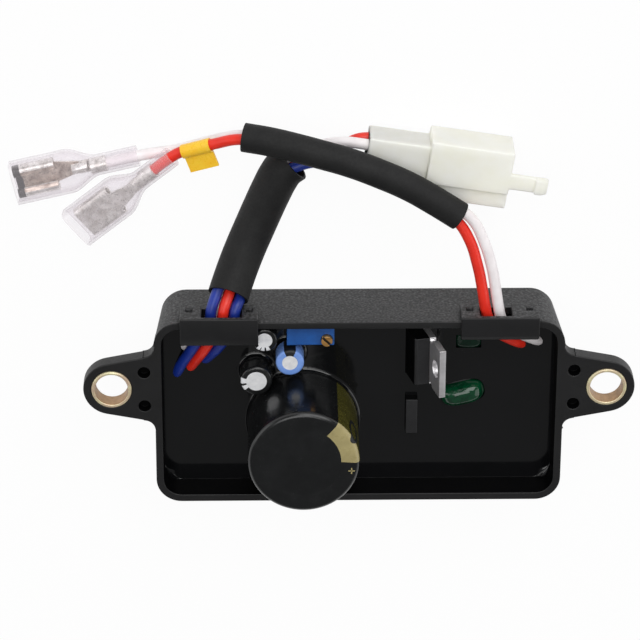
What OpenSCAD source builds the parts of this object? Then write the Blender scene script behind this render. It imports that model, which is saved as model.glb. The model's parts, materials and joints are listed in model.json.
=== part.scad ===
// Automatic voltage regulator of a portable generator: electronics potted in a moulded case,
// with two loose harnesses that lie on the surface it rests on.
// Frame: millimetres, flat back of the case on z = 0, +X along the length, +Y the cable side.

/* [Case] */
// Length of the moulded case without its ears
case_l = 81; // [80:0.5:96]
// Width of the case, from the plain side to the cable side
case_w = 40; // [39.5:0.5:50]
// Depth of the case, from its back to its rim
case_d = 16; // [15.5:0.5:20]
// Wall thickness
wall = 1.5; // [1.3:0.1:1.8]
// Floor thickness
floor_t = 1.6; // [1.2:0.1:2]
// Corner radius of the outline
corner_r = 5; // [3:0.1:6]
// Lean of each end from rim to back
end_draft = 1.2; // [0.4:0.1:1.4]
// Lean of each side from rim to back
side_draft = 0.1; // [0.1:0.1:0.4]
// Radius of the edge round the back
back_r = 0.9; // [0.6:0.1:1.4]

/* [Ears] */
// Distance of each mounting hole from the end of the case
ear_reach = 8.5; // [8.2:0.1:10]
// Place of the mounting holes towards the cable side
ear_y = 5.4; // [0:0.1:7]
// Radius of an ear's end
ear_r = 5.6; // [5.2:0.1:6.5]
// Width of an ear where it joins the case
ear_root_w = 15; // [13:0.5:18]
// Thickness of an ear
ear_t = 3.4; // [3:0.1:5]
// Fillet between an ear and the wall
ear_fillet = 2.2; // [1:0.1:3]
// Outer diameter of a bushing
bush_od = 8; // [7.6:0.1:8.6]
// Bore of a bushing, for an M6 screw
bush_id = 6.5; // [6:0.1:6.8]
// How far a bushing stands proud of each face
bush_proud = 0.2; // [0.1:0.05:0.4]
// Diameter of the blind core holes in the ears
core_d = 2.4; // [1.6:0.1:3]
// Depth of the blind core holes
core_depth = 2; // [1:0.1:2.4]
// Distance between the two core holes of an ear
core_pitch = 7.4; // [5:0.1:8.5]
// Distance of the core holes from the mounting hole
core_inset = 6.5; // [5.8:0.1:6.9]

/* [Wire clips] */
// Place of each clip along the case, from its middle
clip_x = 27.6; // [27:0.1:28.2]
// Length of a clip
clip_l = 15.4; // [14.8:0.1:17]
// Thickness of a clip's plate and legs
clip_t = 1.2; // [1:0.1:1.5]
// Reach of a clip's legs below the rim
clip_leg = 5.7; // [5.2:0.1:6.2]
// Reach of a clip's plate past the wall, inside the case
clip_lip = 1.1; // [1:0.1:1.4]
// Reach of the sloping edge of the left clip past its plate
left_tongue = 2.3; // [1.5:0.1:2.5]
// Reach of the sloping edge of the right clip past its plate
right_tongue = 1.3; // [0.8:0.1:2]
// Fall of a clip's sloping edge
tongue_drop = 0.9; // [0.5:0.1:1]
// Width of the left clip's wire slot
left_slot_w = 8; // [7.8:0.1:8.2]
// Width of the right clip's wire slot
right_slot_w = 6.4; // [6.3:0.1:6.6]
// Depth of the wire notch in the wall, from the rim
notch_d = 6.3; // [6.3:0.05:6.4]
// Depth of the foot that holds the wires down
foot_d = 1.75; // [1.2:0.05:1.8]
// Side of a snap window
window_w = 1.4; // [1.2:0.1:1.7]
// Distance of a snap window from the middle of its clip
window_x = 5.9; // [5.8:0.05:6]
// Distance of a snap window below the rim
window_z = 3.1; // [2.8:0.1:3.4]
// Play of a snap barb in its window
barb_play = 0.15; // [0.1:0.05:0.25]
// Reach of a snap barb into its window
barb_reach = 0.6; // [0.4:0.1:0.9]

/* [Board and resin] */
// Thickness of the circuit board
board_t = 1.6; // [1.2:0.1:1.8]
// Height of the posts under the board
post_h = 1.1; // [1:0.1:1.4]
// Diameter of the posts
post_d = 3.4; // [2.5:0.1:4]
// Gap between the board and the walls
board_gap = 1; // [0.8:0.1:1.2]
// Distance of the resin's surface below the rim
resin_drop = 6.5; // [6.4:0.1:7]
// Height that the resin climbs up the cans
meniscus = 0.8; // [0.4:0.1:1.2]
// Gap left round every piece that the resin holds
resin_gap = 0.04; // [0.02:0.01:0.08]

/* [Main capacitor] */
// Diameter over the sleeve
main_d = 22; // [20:0.5:22.5]
// Height above the board
main_h = 23.5; // [18:0.5:30]
// Direction of its middle from the slim blue capacitor
main_angle = 279.6; // [276:0.2:284]
// Clear distance between it and the slim blue capacitor
main_gap = 1.7; // [1.3:0.1:2.1]
// Radius of its top edge
main_edge = 0.9; // [0.6:0.1:1.4]
// Share of its end that the sleeve leaves open
main_open = 0.67; // [0.6:0.01:0.85]
// Diameter of its two pins
main_pin_d = 1.5; // [1:0.1:2]
// Distance between its two pins
main_pin_pitch = 10; // [8:0.5:12]

/* [Small capacitors] */
// Height of the small capacitors above the board
small_h = 10.3; // [8:0.1:13]
// Diameter of the slim black capacitor
slim_d = 5; // [4:0.1:5.4]
// Distance of the slim black capacitor from the left wall
slim_in = 20.3; // [20:0.1:20.8]
// Diameter of the stout black capacitor
stout_d = 6.3; // [5:0.1:6.6]
// Direction of the stout black capacitor from the main one
stout_angle = 129.4; // [127:0.2:133]
// Diameter of the blue capacitor
blue_d = 5.6; // [5:0.1:5.9]
// Distance of the blue capacitor from the left wall
blue_in = 25.3; // [25:0.1:25.6]
// Thickness of the printed sleeve on every capacitor
film_t = 0.3; // [0.2:0.05:0.4]
// Share of a can's end that its sleeve leaves open
open_share = 0.6; // [0.5:0.02:0.8]
// Depth of the vent score in a can's end
score_t = 0.2; // [0.1:0.05:0.3]
// Diameter of the leads
lead_d = 0.7; // [0.5:0.05:0.8]
// Distance between the leads of a small capacitor
lead_pitch = 2; // [1.8:0.1:2.2]

/* [Trimmer] */
// Length of the trimmer
trim_l = 9.4; // [8.6:0.1:9.8]
// Width of the trimmer
trim_w = 4.7; // [4.4:0.1:4.9]
// Height of the trimmer above the board
trim_h = 9; // [8:0.1:10]
// Distance of the trimmer from the left wall
trim_in = 29.4; // [29.2:0.1:30]
// Diameter of the adjusting screw's head
screw_d = 2.2; // [1.8:0.1:2.4]
// Height of the screw's head above the trimmer
screw_proud = 0.9; // [0.5:0.1:1.4]
// Diameter of the screw's stem
stem_d = 1.4; // [1.1:0.1:1.5]
// Length of the stem inside the trimmer
stem_l = 5; // [3:0.5:6]
// Running clearance round the screw
screw_play = 0.05; // [0.03:0.01:0.08]

/* [Power transistor] */
// Width of the package
tab_w = 10.2; // [9:0.1:10.4]
// Height of the package with its tab
tab_h = 15.6; // [14:0.1:17]
// Thickness of the metal tab
tab_t = 1.3; // [1:0.1:1.6]
// Height of the moulded body
body_h = 9.2; // [8:0.1:10]
// Thickness of the moulded body in front of the tab
body_t = 3.1; // [2.6:0.1:3.4]
// Hole in the tab
tab_hole = 3.6; // [3:0.1:4]
// Lean of the package towards +X, in degrees
tab_lean = 15; // [10:1:18]
// Distance of its foot from the right wall
tab_in = 28.1; // [27:0.1:28.6]
// Clear distance between the package and the cable-side wall
tab_gap = 2.8; // [2.4:0.1:3.2]
// Length of its leads above the board
tab_stand = 1.4; // [1.2:0.1:2]

/* [Other components] */
// Width of the small transistor, across the case
signal_w = 7.7; // [7:0.1:8]
// Thickness of the small transistor
signal_t = 2.4; // [2:0.1:2.8]
// Height of the small transistor's top above the resin
signal_proud = 1.8; // [0.6:0.1:2.4]
// Distance of the small transistor from the right wall
signal_in = 28.35; // [28:0.05:28.6]
// Length of the large film capacitor
film_l = 9; // [8:0.1:9.6]
// Thickness of the large film capacitor
film_w = 4.8; // [4:0.1:5.2]
// Height of the large film capacitor's top above the resin
film_proud = 2.6; // [1.5:0.1:3.5]
// Turn of the large film capacitor, in degrees
film_turn = 14; // [8:1:18]
// Distance of the large film capacitor from the right wall
film_in = 18.2; // [17.8:0.1:18.6]
// Length of the small film capacitor
mini_l = 6.4; // [5:0.1:7]
// Thickness of the small film capacitor
mini_w = 4.2; // [3.5:0.1:4.6]
// Height of the small film capacitor's top above the resin
mini_proud = 0.3; // [0.2:0.1:1]
// Distance of the small film capacitor from the right wall
mini_in = 17.1; // [16.6:0.1:17.6]
// Diameter of a rectifier diode
diode_d = 2.7; // [2.2:0.1:3]
// Length of a rectifier diode
diode_l = 5.2; // [4.5:0.1:6]
// Diameter of a resistor
resistor_d = 2.4; // [2:0.1:3]
// Length of a resistor
resistor_l = 6.5; // [6:0.1:8]
// Distance between the bent leads of a diode or resistor
axial_pitch = 10; // [9.5:0.5:11]

/* [Wires] */
// Outer diameter of every wire
wire_d = 2.2; // [1.8:0.1:2.2]
// Outer diameter of the wide sleeve on the sensing wires
wide_od = 8.2; // [8:0.1:8.3]
// Outer diameter of the slim sleeve on the brush wires
slim_od = 5.7; // [5.5:0.1:5.8]
// Wall of both sleeves
sleeve_wall = 0.5; // [0.3:0.05:0.55]

/* [Plug] */
// Length of the plug's shroud
shroud_l = 16.3; // [15:0.1:18]
// Width of the shroud
shroud_w = 12; // [11.4:0.1:13]
// Height of the shroud
shroud_h = 9; // [8.6:0.1:9.1]
// Wall of the shroud
shroud_wall = 1.1; // [0.8:0.1:1.3]
// Length of the plug's rear body
rear_l = 12; // [10:0.5:14]
// Set-in of the rear body from the shroud
rear_inset = 0.9; // [0.6:0.1:1]
// Width that the rear body loses on each side
rear_side = 1.4; // [1:0.1:1.6]
// Distance between the two columns of contacts
contact_pitch = 4.6; // [4.2:0.1:5]
// Distance between the two rows of contacts
row_pitch = 3.2; // [3:0.1:3.4]
// Width of a contact blade
blade_w = 2.8; // [2.4:0.1:3]
// Thickness of a contact blade
blade_t = 0.8; // [0.6:0.1:1]
// Length of a blade inside the shroud
blade_l = 8; // [6:0.5:9]
// Length of the latch arm in front of the shroud
latch_l = 7.4; // [6:0.1:9]
// Width of the latch arm
latch_w = 3.1; // [2.6:0.1:3.6]
// Thickness of the latch arm
latch_t = 1.3; // [1:0.1:1.6]
// Height of the latch hook
latch_hook = 0.9; // [0.5:0.1:1.2]

/* [Spade receptacles] */
// Width over the rolled edges
spade_w = 6.9; // [6.4:0.1:7.2]
// Length of the rolled box
spade_l = 8.2; // [7:0.1:9]
// Thickness of the sheet
sheet_t = 0.4; // [0.3:0.05:0.5]
// Outer radius of a rolled edge
roll_r = 1.25; // [1.1:0.05:1.35]
// Length of each crimp barrel
barrel_l = 3.2; // [2.5:0.1:3.4]
// Clearance between a barrel and its wire
barrel_play = 0.05; // [0.03:0.01:0.1]
// Length of a clear shroud
cover_l = 25; // [24.5:0.1:27]
// Width of a clear shroud at its mouth
cover_w = 8.6; // [8.4:0.1:9]
// Thickness of a clear shroud at its mouth
cover_h = 4.8; // [4.6:0.1:5]
// Wall of a clear shroud
cover_wall = 0.5; // [0.35:0.05:0.55]
// Diameter of a clear shroud's tail
tail_d = 4.2; // [4.2:0.1:4.4]
// Length of a clear shroud's tail
tail_l = 8; // [7.5:0.1:9]
// Length of the taper between tail and mouth
taper_l = 6; // [5:0.1:6.5]

/* [Marker flag] */
// Length of the flag along its wire
flag_l = 6; // [4:0.1:6.5]
// Reach of the flag from the wire's middle
flag_reach = 4.6; // [3:0.1:5]
// Thickness of the tape
flag_t = 0.25; // [0.15:0.05:0.3]

/* [Hidden] */
$fn = 48;
over = 1;
layer_t = 0.01;

// Clearances: between components, in a sliding fit, round a lead and where wires end
part_gap = 0.4;
fit_gap = 0.1;
lead_play = 0.05;
lead_tail = 0.8;

// Levels above the back
board_z = floor_t + post_h;
board_top = board_z + board_t;
resin_z = case_d - resin_drop;
lead_tip_z = board_z - lead_tail;

// Distance between the two mounting holes
hole_pitch = case_l + 2 * ear_reach;

// Inside of the case
cavity_l = case_l - 2 * wall;
cavity_w = case_w - 2 * wall;
board_l = cavity_l - 2 * board_gap;
board_w = cavity_w - 2 * board_gap;
post_inset = [3.5, 2];
post_x = board_l / 2 - post_inset[0];
post_y = board_w / 2 - post_inset[1];

// Places of the components, from the end walls and the cable-side wall inwards
trim_x = trim_in - cavity_l / 2;
trim_y = cavity_w / 2 - part_gap / 2 - trim_w / 2;
trim_top = board_top + trim_h;
screw_inset = [1.5, 1.25];
screw_at = [trim_x + trim_l / 2 - screw_inset[0], trim_y - trim_w / 2 + screw_inset[1]];
screw_seat = 0.8;
slim_at = [slim_in - cavity_l / 2, cavity_w / 2 - 1.5 * part_gap - slim_d / 2];
blue_at = [blue_in - cavity_l / 2, trim_y - trim_w / 2 - part_gap - blue_d / 2];
main_at = blue_at + (main_d / 2 + blue_d / 2 + main_gap) * [cos(main_angle), sin(main_angle)];
stout_at = main_at
    + (main_d / 2 + stout_d / 2 + part_gap) * [cos(stout_angle), sin(stout_angle)];
tab_at = [cavity_l / 2 - tab_in, cavity_w / 2 - tab_gap - tab_w / 2];
tab_side = tab_at[1] - tab_w / 2;
signal_gap = 5.2;
signal_at = [cavity_l / 2 - signal_in, tab_side - signal_gap - signal_w / 2];
film_gap = 2.1;
film_at = [cavity_l / 2 - film_in, tab_side - film_gap - film_w / 2];
mini_gap = 4;
mini_at = [cavity_l / 2 - mini_in, cavity_w / 2 - mini_gap - mini_w / 2];
axial_inset = post_d / 2 + part_gap + lead_d / 2 + axial_pitch / 2;
diode_step = 3.5;
diode_xs = [for (i = [0 : 3]) -post_x + diode_step * i];
diode_y = -post_y + axial_inset;
resistor_step = [12, 4];
resistor_at = [for (i = [0, 1], j = [0 : 2 - i])
    [post_x - axial_inset - resistor_step[0] * i, -post_y + post_d / 2 + resistor_step[1] * j]];

// Leads that pass the board, each as x, y and diameter
small_leads = [for (at = [slim_at, stout_at, blue_at], s = [-1, 1])
    [at[0] + s * lead_pitch / 2, at[1], lead_d]];
film_leads = concat(
    [for (s = [-1, 1])
        [film_at[0] + s * film_l / 3 * cos(film_turn), film_at[1] + s * film_l / 3 * sin(film_turn),
         lead_d]],
    [for (s = [-1, 1]) [mini_at[0] + s * mini_l / 3, mini_at[1], lead_d]]);
lead_step = 2.54;
tab_lead_d = 0.9;
signal_lead_d = 0.5;
trim_leads = [for (s = [-1, 0, 1]) [trim_x + lead_step * s, trim_y, lead_d]];
tab_leads = [for (s = [-1, 0, 1]) [tab_at[0], tab_at[1] + lead_step * s, tab_lead_d]];
signal_stand = 1.2;
signal_bottom = board_top + signal_stand;
signal_leads = [for (s = [-1, 0, 1])
    [signal_at[0], signal_at[1] + lead_step * s, signal_lead_d]];
main_leads = [for (s = [-1, 1]) [main_at[0] + s * main_pin_pitch / 2, main_at[1], main_pin_d]];
diode_leads = [for (x = diode_xs, s = [-1, 1]) [x, diode_y + s * axial_pitch / 2, lead_d]];
resistor_leads = [for (at = resistor_at, s = [-1, 1])
    [at[0] + s * axial_pitch / 2, at[1], lead_d]];
all_leads = concat(small_leads, film_leads, trim_leads, tab_leads, signal_leads, main_leads,
    diode_leads, resistor_leads);

// Plug and receptacles where they lie: place, turn about Z and pitch, in degrees
plug_at = [1.3, 51.1, 0];
plug_turn = -9;
red_spade_at = [-36.6, 50.6, 4.7];
red_spade_turn = 220.2;
red_spade_pitch = 5;
white_spade_at = [-43.2, 49.9, 2.5];
white_spade_turn = 192.6;
white_spade_pitch = -1.5;
white_slide = 1.8;
row_drop = 0.3;
row_z = shroud_h / 2 - row_drop;
contact_start = 5.4;
cell_wall = 1.1;

// Stations of a receptacle along its own axis, from the tail of its shroud
barrel_start = 4.5;
barrel_step = 0.6;
barrel_end = barrel_start + barrel_l;
core_barrel_x = barrel_end + barrel_step;
mouth_inset = 2.2;
cover_flat = 0.3;
spade_x = cover_l - mouth_inset - spade_l;

// Routes of the two sleeves, from the case to their far ends
wide_route = [[-25.8, 23.6, 11.2], [-24.9, 25.7, 9.2], [-23.8, 28.2, 7.3], [-22.3, 31.6, 5.7],
    [-20.5, 35.6, 4.7], [-18.8, 39.6, 4.4], [-17.2, 43.3, 4.4], [-15.8, 46.2, 4.4],
    [-14.6, 48, 4.4], [-13, 49.3, 4.4]];
slim_route = [[19.4, 41, 12.2], [14.4, 44.3, 12.1], [9.6, 47.2, 12], [3.8, 49.8, 11.6],
    [-2, 51.9, 11], [-7.8, 53.6, 10.7], [-11.7, 54.5, 10.1], [-17.4, 55.4, 8.7],
    [-22.5, 55.9, 7.6]];

// Straight stretch of the red brush wire under its marker flag
flag_from = [-28.4, 54.1, 6.7];
flag_to = [-34.9, 51.7, 5.1];

// Where a wire enters the tail of its shroud, and where it ends in its crimp barrel
tail_entry = 0.4;
core_end = barrel_end - 0.2;

// Routes of the wires, from the board to the far ends
blue_outer_route = concat(
    [[-37, 3.6, 4.4], [-36.9, 3.7, 6.4], [-36.4, 5, 8.3], [-35.1, 8.2, 9.9],
     [-33.2, 11.8, 11.4], [-31.3, 15.6, 12.6], [-29.5, 19.2, 13], [-29, 21.8, 12.9]],
    beside(wide_route, -2.35, 0.3, -90),
    [[-8.5, 50.2, 6.6], [-3.2, 49.6, 6.3], [0, 49, 5.8], [5.9, 48, 5.8]]);
red_sense_route = concat(
    [[-34.3, 5, 4.4], [-34.2, 5.1, 6.4], [-33.7, 6.4, 8.3], [-32.3, 9, 10],
     [-30.6, 12, 11.5], [-28.8, 15.6, 12.6], [-27.1, 19.2, 13], [-26.6, 21.6, 12.9]],
    beside(wide_route, 0, 0.3, -90),
    [[-8.5, 50.6, 4.3], [-3.2, 52.2, 3], [0.7, 53.5, 2.6], [6.6, 52.6, 2.6]]);
blue_inner_route = concat(
    [[-31.5, 7.2, 4.4], [-31.4, 7.3, 6.4], [-30.8, 8.2, 8.3], [-29.3, 10.2, 10],
     [-27.8, 12.5, 11.5], [-26.1, 15.7, 12.6], [-24.7, 19.2, 13], [-24.4, 21.2, 12.9]],
    beside(wide_route, 2.35, 0.3, -90),
    [[-8.5, 49.6, 2.2], [-3.2, 48.5, 2.6], [0, 48.9, 2.6], [5.9, 48, 2.6]]);
white_sense_route = concat(
    [[-35.5, 10.2, 4.4], [-35.4, 10.3, 6.4], [-34.7, 11.3, 8.5], [-33.1, 13.7, 9.6],
     [-30.4, 16.9, 10.5], [-28.4, 19.2, 11], [-27.8, 21.2, 10.9]],
    beside(wide_route, -1.2, -1.8, -90),
    [[-8.8, 53, 5.6], [-3, 53.9, 5.5], [0.7, 53.6, 5.8], [6.6, 52.6, 5.8]]);
red_brush_route = concat(
    [[33.7, 10.7, 4.4], [33.6, 10.8, 6.4], [32.7, 11.5, 8.5], [30, 13.4, 10.4],
     [27.2, 16, 12.1], [25.4, 19.2, 13], [24.7, 22, 13.1], [24.1, 25.6, 13.1],
     [23, 30.9, 13], [21.2, 36.4, 12.6]],
    beside(slim_route, -1.15, 0, -90),
    [flag_from, flag_to],
    along_spade(red_spade_at, red_spade_turn, red_spade_pitch, [tail_entry, core_end]));
white_brush_route = concat(
    [[36.9, 11.3, 4.4], [36.8, 11.4, 6.4], [36, 12.1, 8.5], [33.4, 14, 10.6],
     [30.2, 16.4, 12.3], [28, 19.2, 13], [27.3, 22, 13.1], [26.7, 25.6, 13.1],
     [25.7, 30.9, 13], [24, 36.2, 12.7], [22.2, 39.8, 12.3]],
    beside(slim_route, 1.15, 0, -90),
    [[-26, 54.6, 4.6], [-29.5, 52.9, 2.6], [-33, 51.4, 1.5], [-36.6, 50.4, 1.2],
     [-40.1, 50.1, 1.6]],
    along_spade(white_spade_at, white_spade_turn, white_spade_pitch,
        [tail_entry, core_end + white_slide]));

// Unit vector along v
function unit(v) = v / norm(v);

// Direction of a route at its point i
function heading(route, i) =
    let (last = len(route) - 1)
    i == 0 ? unit(route[1] - route[0])
    : i == last ? unit(route[last] - route[last - 1])
    : unit(unit(route[i + 1] - route[i]) + unit(route[i] - route[i - 1]));

// Level direction to the right of a heading
function right_of(t) = unit(cross(t, [0, 0, 1]));

// A route beside another one, offset to its right and upwards, and turned by twist on the way
function beside(route, right, up, twist = 0) =
    let (last = len(route) - 1)
    [for (i = [0 : last])
        let (t = heading(route, i), r = right_of(t), u = cross(r, t), a = twist * i / last)
        route[i] + (right * cos(a) - up * sin(a)) * r + (right * sin(a) + up * cos(a)) * u];

// Points on the axis of a receptacle at the given stations
function along_spade(at, turn, pitch, stations) =
    [for (x = stations)
        at + x * [cos(turn) * cos(pitch), sin(turn) * cos(pitch), -sin(pitch)]];

// Corners of a ring round a route's point
function ring(p, t, r, sides) =
    let (right = right_of(t), up = cross(right, t))
    [for (k = [0 : sides - 1])
        p + r * (cos(360 * k / sides) * right + sin(360 * k / sides) * up)];

// Rings along a whole route
function rings(route, r, sides) =
    [for (i = [0 : len(route) - 1]) each ring(route[i], heading(route, i), r, sides)];

// Triangles of the skin between neighbouring rings, from point number first on
function skin(count, sides, first, outward) =
    [for (i = [0 : count - 2], k = [0 : sides - 1])
        let (a = first + i * sides + k, b = first + i * sides + (k + 1) % sides)
        each (outward ? [[a, b, b + sides], [a, b + sides, a + sides]]
            : [[a, b + sides, b], [a, a + sides, b + sides]])];

// Solid cord along a route
module cord(route, r, sides = 8) {
    n = len(route);
    polyhedron(rings(route, r, sides), concat(
        skin(n, sides, 0, true),
        [[for (k = [sides - 1 : -1 : 0]) k]],
        [[for (k = [0 : sides - 1]) (n - 1) * sides + k]]), convexity = 10);
}

// Hollow sleeve along a route
module sleeve(route, r_out, r_in, sides = 16) {
    n = len(route);
    inner = n * sides;
    far = (n - 1) * sides;
    ends = [for (k = [0 : sides - 1])
        let (j = (k + 1) % sides)
        each [[k, inner + k, inner + j], [k, inner + j, j],
            [far + k, far + j, inner + far + j], [far + k, inner + far + j, inner + far + k]]];
    polyhedron(concat(rings(route, r_out, sides), rings(route, r_in, sides)), concat(
        skin(n, sides, 0, true), skin(n, sides, inner, false), ends), convexity = 10);
}

// Rectangle with round corners, centred
module rounded_rect(l, w, r) {
    square([l - 2 * r, w], center = true);
    square([l, w - 2 * r], center = true);
    for (x = [-1, 1], y = [-1, 1])
        translate([x * (l / 2 - r), y * (w / 2 - r)]) circle(r);
}

// Thin plan of the case at a level, set in by the round edge
module case_layer(level, inset) {
    lean = 1 - level / case_d;
    translate([0, 0, level]) linear_extrude(layer_t)
        rounded_rect(case_l - 2 * (end_draft * lean + inset),
            case_w - 2 * (side_draft * lean + inset), corner_r - inset);
}

// Outer form of the case, narrowing from its rim to a back with a round edge
module case_block() {
    hull() {
        case_layer(case_d - layer_t, 0);
        for (a = [0 : 30 : 90]) case_layer(back_r * (1 - cos(a)), back_r * (1 - sin(a)));
    }
}

// Space inside the walls, from the floor up to a level
module cavity(top, gap = 0) {
    translate([0, 0, floor_t + gap])
        linear_extrude(top - floor_t - gap)
            rounded_rect(cavity_l - 2 * gap, cavity_w - 2 * gap, corner_r - wall);
}

// Outline of the right ear, from inside the wall to its round end
module ear_outline() {
    root_x = case_l / 2 - wall / 2;
    half = ear_root_w / 2;
    reach = hole_pitch / 2 - root_x;
    lean = atan((half - ear_r) / reach);
    touch = ear_r * [sin(lean), cos(lean)];
    translate([root_x, ear_y]) {
        polygon([[0, -half], [reach + touch[0], -touch[1]], [reach + touch[0], touch[1]],
            [0, half]]);
        translate([reach, 0]) circle(ear_r);
        for (s = [-1, 1]) scale([1, s]) translate([wall / 2, half - ear_fillet * tan(lean)])
            difference() {
                translate([-wall / 2, -over]) square([ear_fillet + wall / 2, ear_fillet + over]);
                translate([ear_fillet, ear_fillet]) circle(ear_fillet);
            }
    }
}

// Right ear with its bushing hole and blind core holes
module ear() {
    difference() {
        translate([0, 0, case_d - ear_t]) linear_extrude(ear_t) ear_outline();
        translate([hole_pitch / 2, ear_y, 0]) cylinder(d = bush_od, h = case_d + over);
        for (s = [-1, 1])
            translate([hole_pitch / 2 - core_inset, ear_y + s * core_pitch / 2,
                case_d - core_depth])
                cylinder(d = core_d, h = core_depth + over);
    }
}

// Snap barb on the cable-side wall, wedge-shaped so that a clip slides over it
module barb() {
    w = window_w - 2 * barb_play;
    translate([-w / 2, 0, 0]) rotate([90, 0, 90]) linear_extrude(w)
        polygon([[-wall / 2, -w / 2], [barb_reach, -w / 2], [0, w / 2], [-wall / 2, w / 2]]);
}

// Width of a clip's wire slot, and its place along the case
slot_shift = [0.5, -0.75];
function slot_w(side) = side < 0 ? left_slot_w : right_slot_w;
function slot_x(side) = side * clip_x + (side < 0 ? slot_shift[0] : slot_shift[1]);

module case() {
    color([0.11, 0.11, 0.12]) {
        difference() {
            union() {
                difference() {
                    case_block();
                    cavity(case_d + over);
                }
                ear();
                mirror([1, 0, 0]) ear();
            }
            for (s = [-1, 1])
                translate([slot_x(s), case_w / 2, case_d])
                    cube([slot_w(s), 4 * wall, 2 * notch_d], center = true);
        }
        for (x = [-1, 1], y = [-1, 1])
            translate([x * post_x, y * post_y, floor_t / 2])
                cylinder(d = post_d, h = floor_t / 2 + post_h);
        for (s = [-1, 1], w = [-1, 1])
            translate([s * clip_x + w * window_x, case_w / 2, case_d - window_z]) barb();
    }
}

// Spacer pressed into an ear, for the mounting screw
module bushing(side) {
    color([0.72, 0.66, 0.45])
        translate([side * hole_pitch / 2, ear_y, case_d - ear_t - bush_proud])
            difference() {
                cylinder(d = bush_od, h = ear_t + 2 * bush_proud);
                translate([0, 0, -over])
                    cylinder(d = bush_id, h = ear_t + 2 * bush_proud + 2 * over);
            }
}

module left_bushing() { bushing(-1); }

module right_bushing() { bushing(1); }

// Clip that snaps over the wall and holds the wires down in their notch
module wire_clip(side) {
    inner = case_w / 2 - wall - clip_lip;
    outer = case_w / 2 + fit_gap + clip_t;
    tip = inner - (side < 0 ? left_tongue : right_tongue);
    hook_y = case_w / 2 - wall - fit_gap;
    slot = slot_x(side) - side * clip_x;
    color([0.09, 0.09, 0.10]) translate([side * clip_x, 0, case_d]) {
        translate([-clip_l / 2, inner, 0]) cube([clip_l, outer - inner, clip_t]);
        difference() {
            translate([-clip_l / 2, outer - clip_t, -clip_leg])
                cube([clip_l, clip_t, clip_leg + clip_t / 2]);
            translate([slot - slot_w(side) / 2, outer - 2 * clip_t, -clip_leg - over])
                cube([slot_w(side), 3 * clip_t, clip_leg + over]);
            for (s = [-1, 1])
                translate([s * window_x - window_w / 2, outer - 2 * clip_t,
                    -window_z - window_w / 2])
                    cube([window_w, 3 * clip_t, window_w]);
        }
        translate([-clip_l / 2, 0, 0]) rotate([90, 0, 90]) linear_extrude(clip_l)
            polygon([[hook_y, clip_t / 2], [hook_y, -tongue_drop], [tip, -tongue_drop],
                [tip, clip_t - tongue_drop], [inner, clip_t], [inner + clip_t / 2, clip_t / 2]]);
        translate([slot - slot_w(side) / 2 + barb_play, case_w / 2 - wall - 2 * fit_gap, -foot_d])
            cube([slot_w(side) - 2 * barb_play, wall - 2 * fit_gap, foot_d + clip_t / 2]);
    }
}

module left_wire_clip() { wire_clip(-1); }

module right_wire_clip() { wire_clip(1); }

// Board outline with its lead holes
module circuit_board() {
    color([0.55, 0.42, 0.22]) translate([0, 0, board_z]) linear_extrude(board_t)
        difference() {
            rounded_rect(board_l, board_w, corner_r - wall);
            for (l = all_leads) translate([l[0], l[1]]) circle(d = l[2] + 2 * lead_play, $fn = 24);
        }
}

// Straight leads from the tip below the board up to a level
module straight_leads(list, top, gap = 0) {
    for (l = list) translate([l[0], l[1], lead_tip_z - gap])
        cylinder(d = l[2] + 2 * gap, h = top - lead_tip_z + gap, $fn = 24);
}

// Round can standing on the board, grown by gap
module can_space(at, d, h, gap = 0) {
    translate([at[0], at[1], board_top - gap]) cylinder(d = d + 2 * gap, h = h + gap);
}

// Resin that climbs up a can
module meniscus_ring(at, d) {
    inner = d / 2 + resin_gap;
    translate([at[0], at[1], resin_z]) rotate_extrude()
        difference() {
            translate([inner, -meniscus / 2]) square([meniscus, 1.5 * meniscus]);
            translate([inner + meniscus, meniscus]) circle(meniscus - fit_gap);
        }
}

// Everything that the resin has flowed round, grown by its gap
module potted_spaces() {
    g = resin_gap;
    translate([-board_l / 2 - g, -board_w / 2 - g, board_z - g])
        cube([board_l + 2 * g, board_w + 2 * g, board_t + 2 * g]);
    for (x = [-1, 1], y = [-1, 1])
        translate([x * post_x, y * post_y, 0]) cylinder(d = post_d + 2 * g, h = board_z);
    straight_leads(all_leads, board_top, g);
    can_space(main_at, main_d, main_h, g);
    can_space(slim_at, slim_d, small_h, g);
    can_space(stout_at, stout_d, small_h, g);
    can_space(blue_at, blue_d, small_h, g);
    trimmer_block(g);
    transistor_space(g);
    signal_block(g);
    film_block(film_at, film_l, film_w, film_proud, g, film_turn);
    film_block(mini_at, mini_l, mini_w, mini_proud, g);
    diode_space(g);
    resistor_space(g);
    for (r = [blue_outer_route, red_sense_route, blue_inner_route, white_sense_route,
            red_brush_route, white_brush_route])
        cord(first_points(r, 6), wire_d / 2 + 2 * g);
}

// First points of a route
function first_points(route, count) = [for (i = [0 : count - 1]) route[i]];

module potting_resin() {
    color([0.05, 0.05, 0.055]) difference() {
        union() {
            cavity(resin_z, resin_gap / 2);
            meniscus_ring(main_at, main_d);
            meniscus_ring(stout_at, stout_d);
            meniscus_ring(blue_at, blue_d);
        }
        potted_spaces();
    }
}

// Aluminium can inside its sleeve, with a vent score in its end
module electrolytic_can(at, d, h) {
    can_d = d - 2 * film_t;
    color([0.80, 0.80, 0.82]) difference() {
        translate([at[0], at[1], board_top + film_t])
            cylinder(d = can_d, h = h - 2 * film_t);
        for (a = [30, 120])
            translate([at[0], at[1], board_top + h - film_t])
                rotate([0, 0, a]) cube([0.45 * d, score_t, 2 * score_t], center = true);
    }
}

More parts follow.
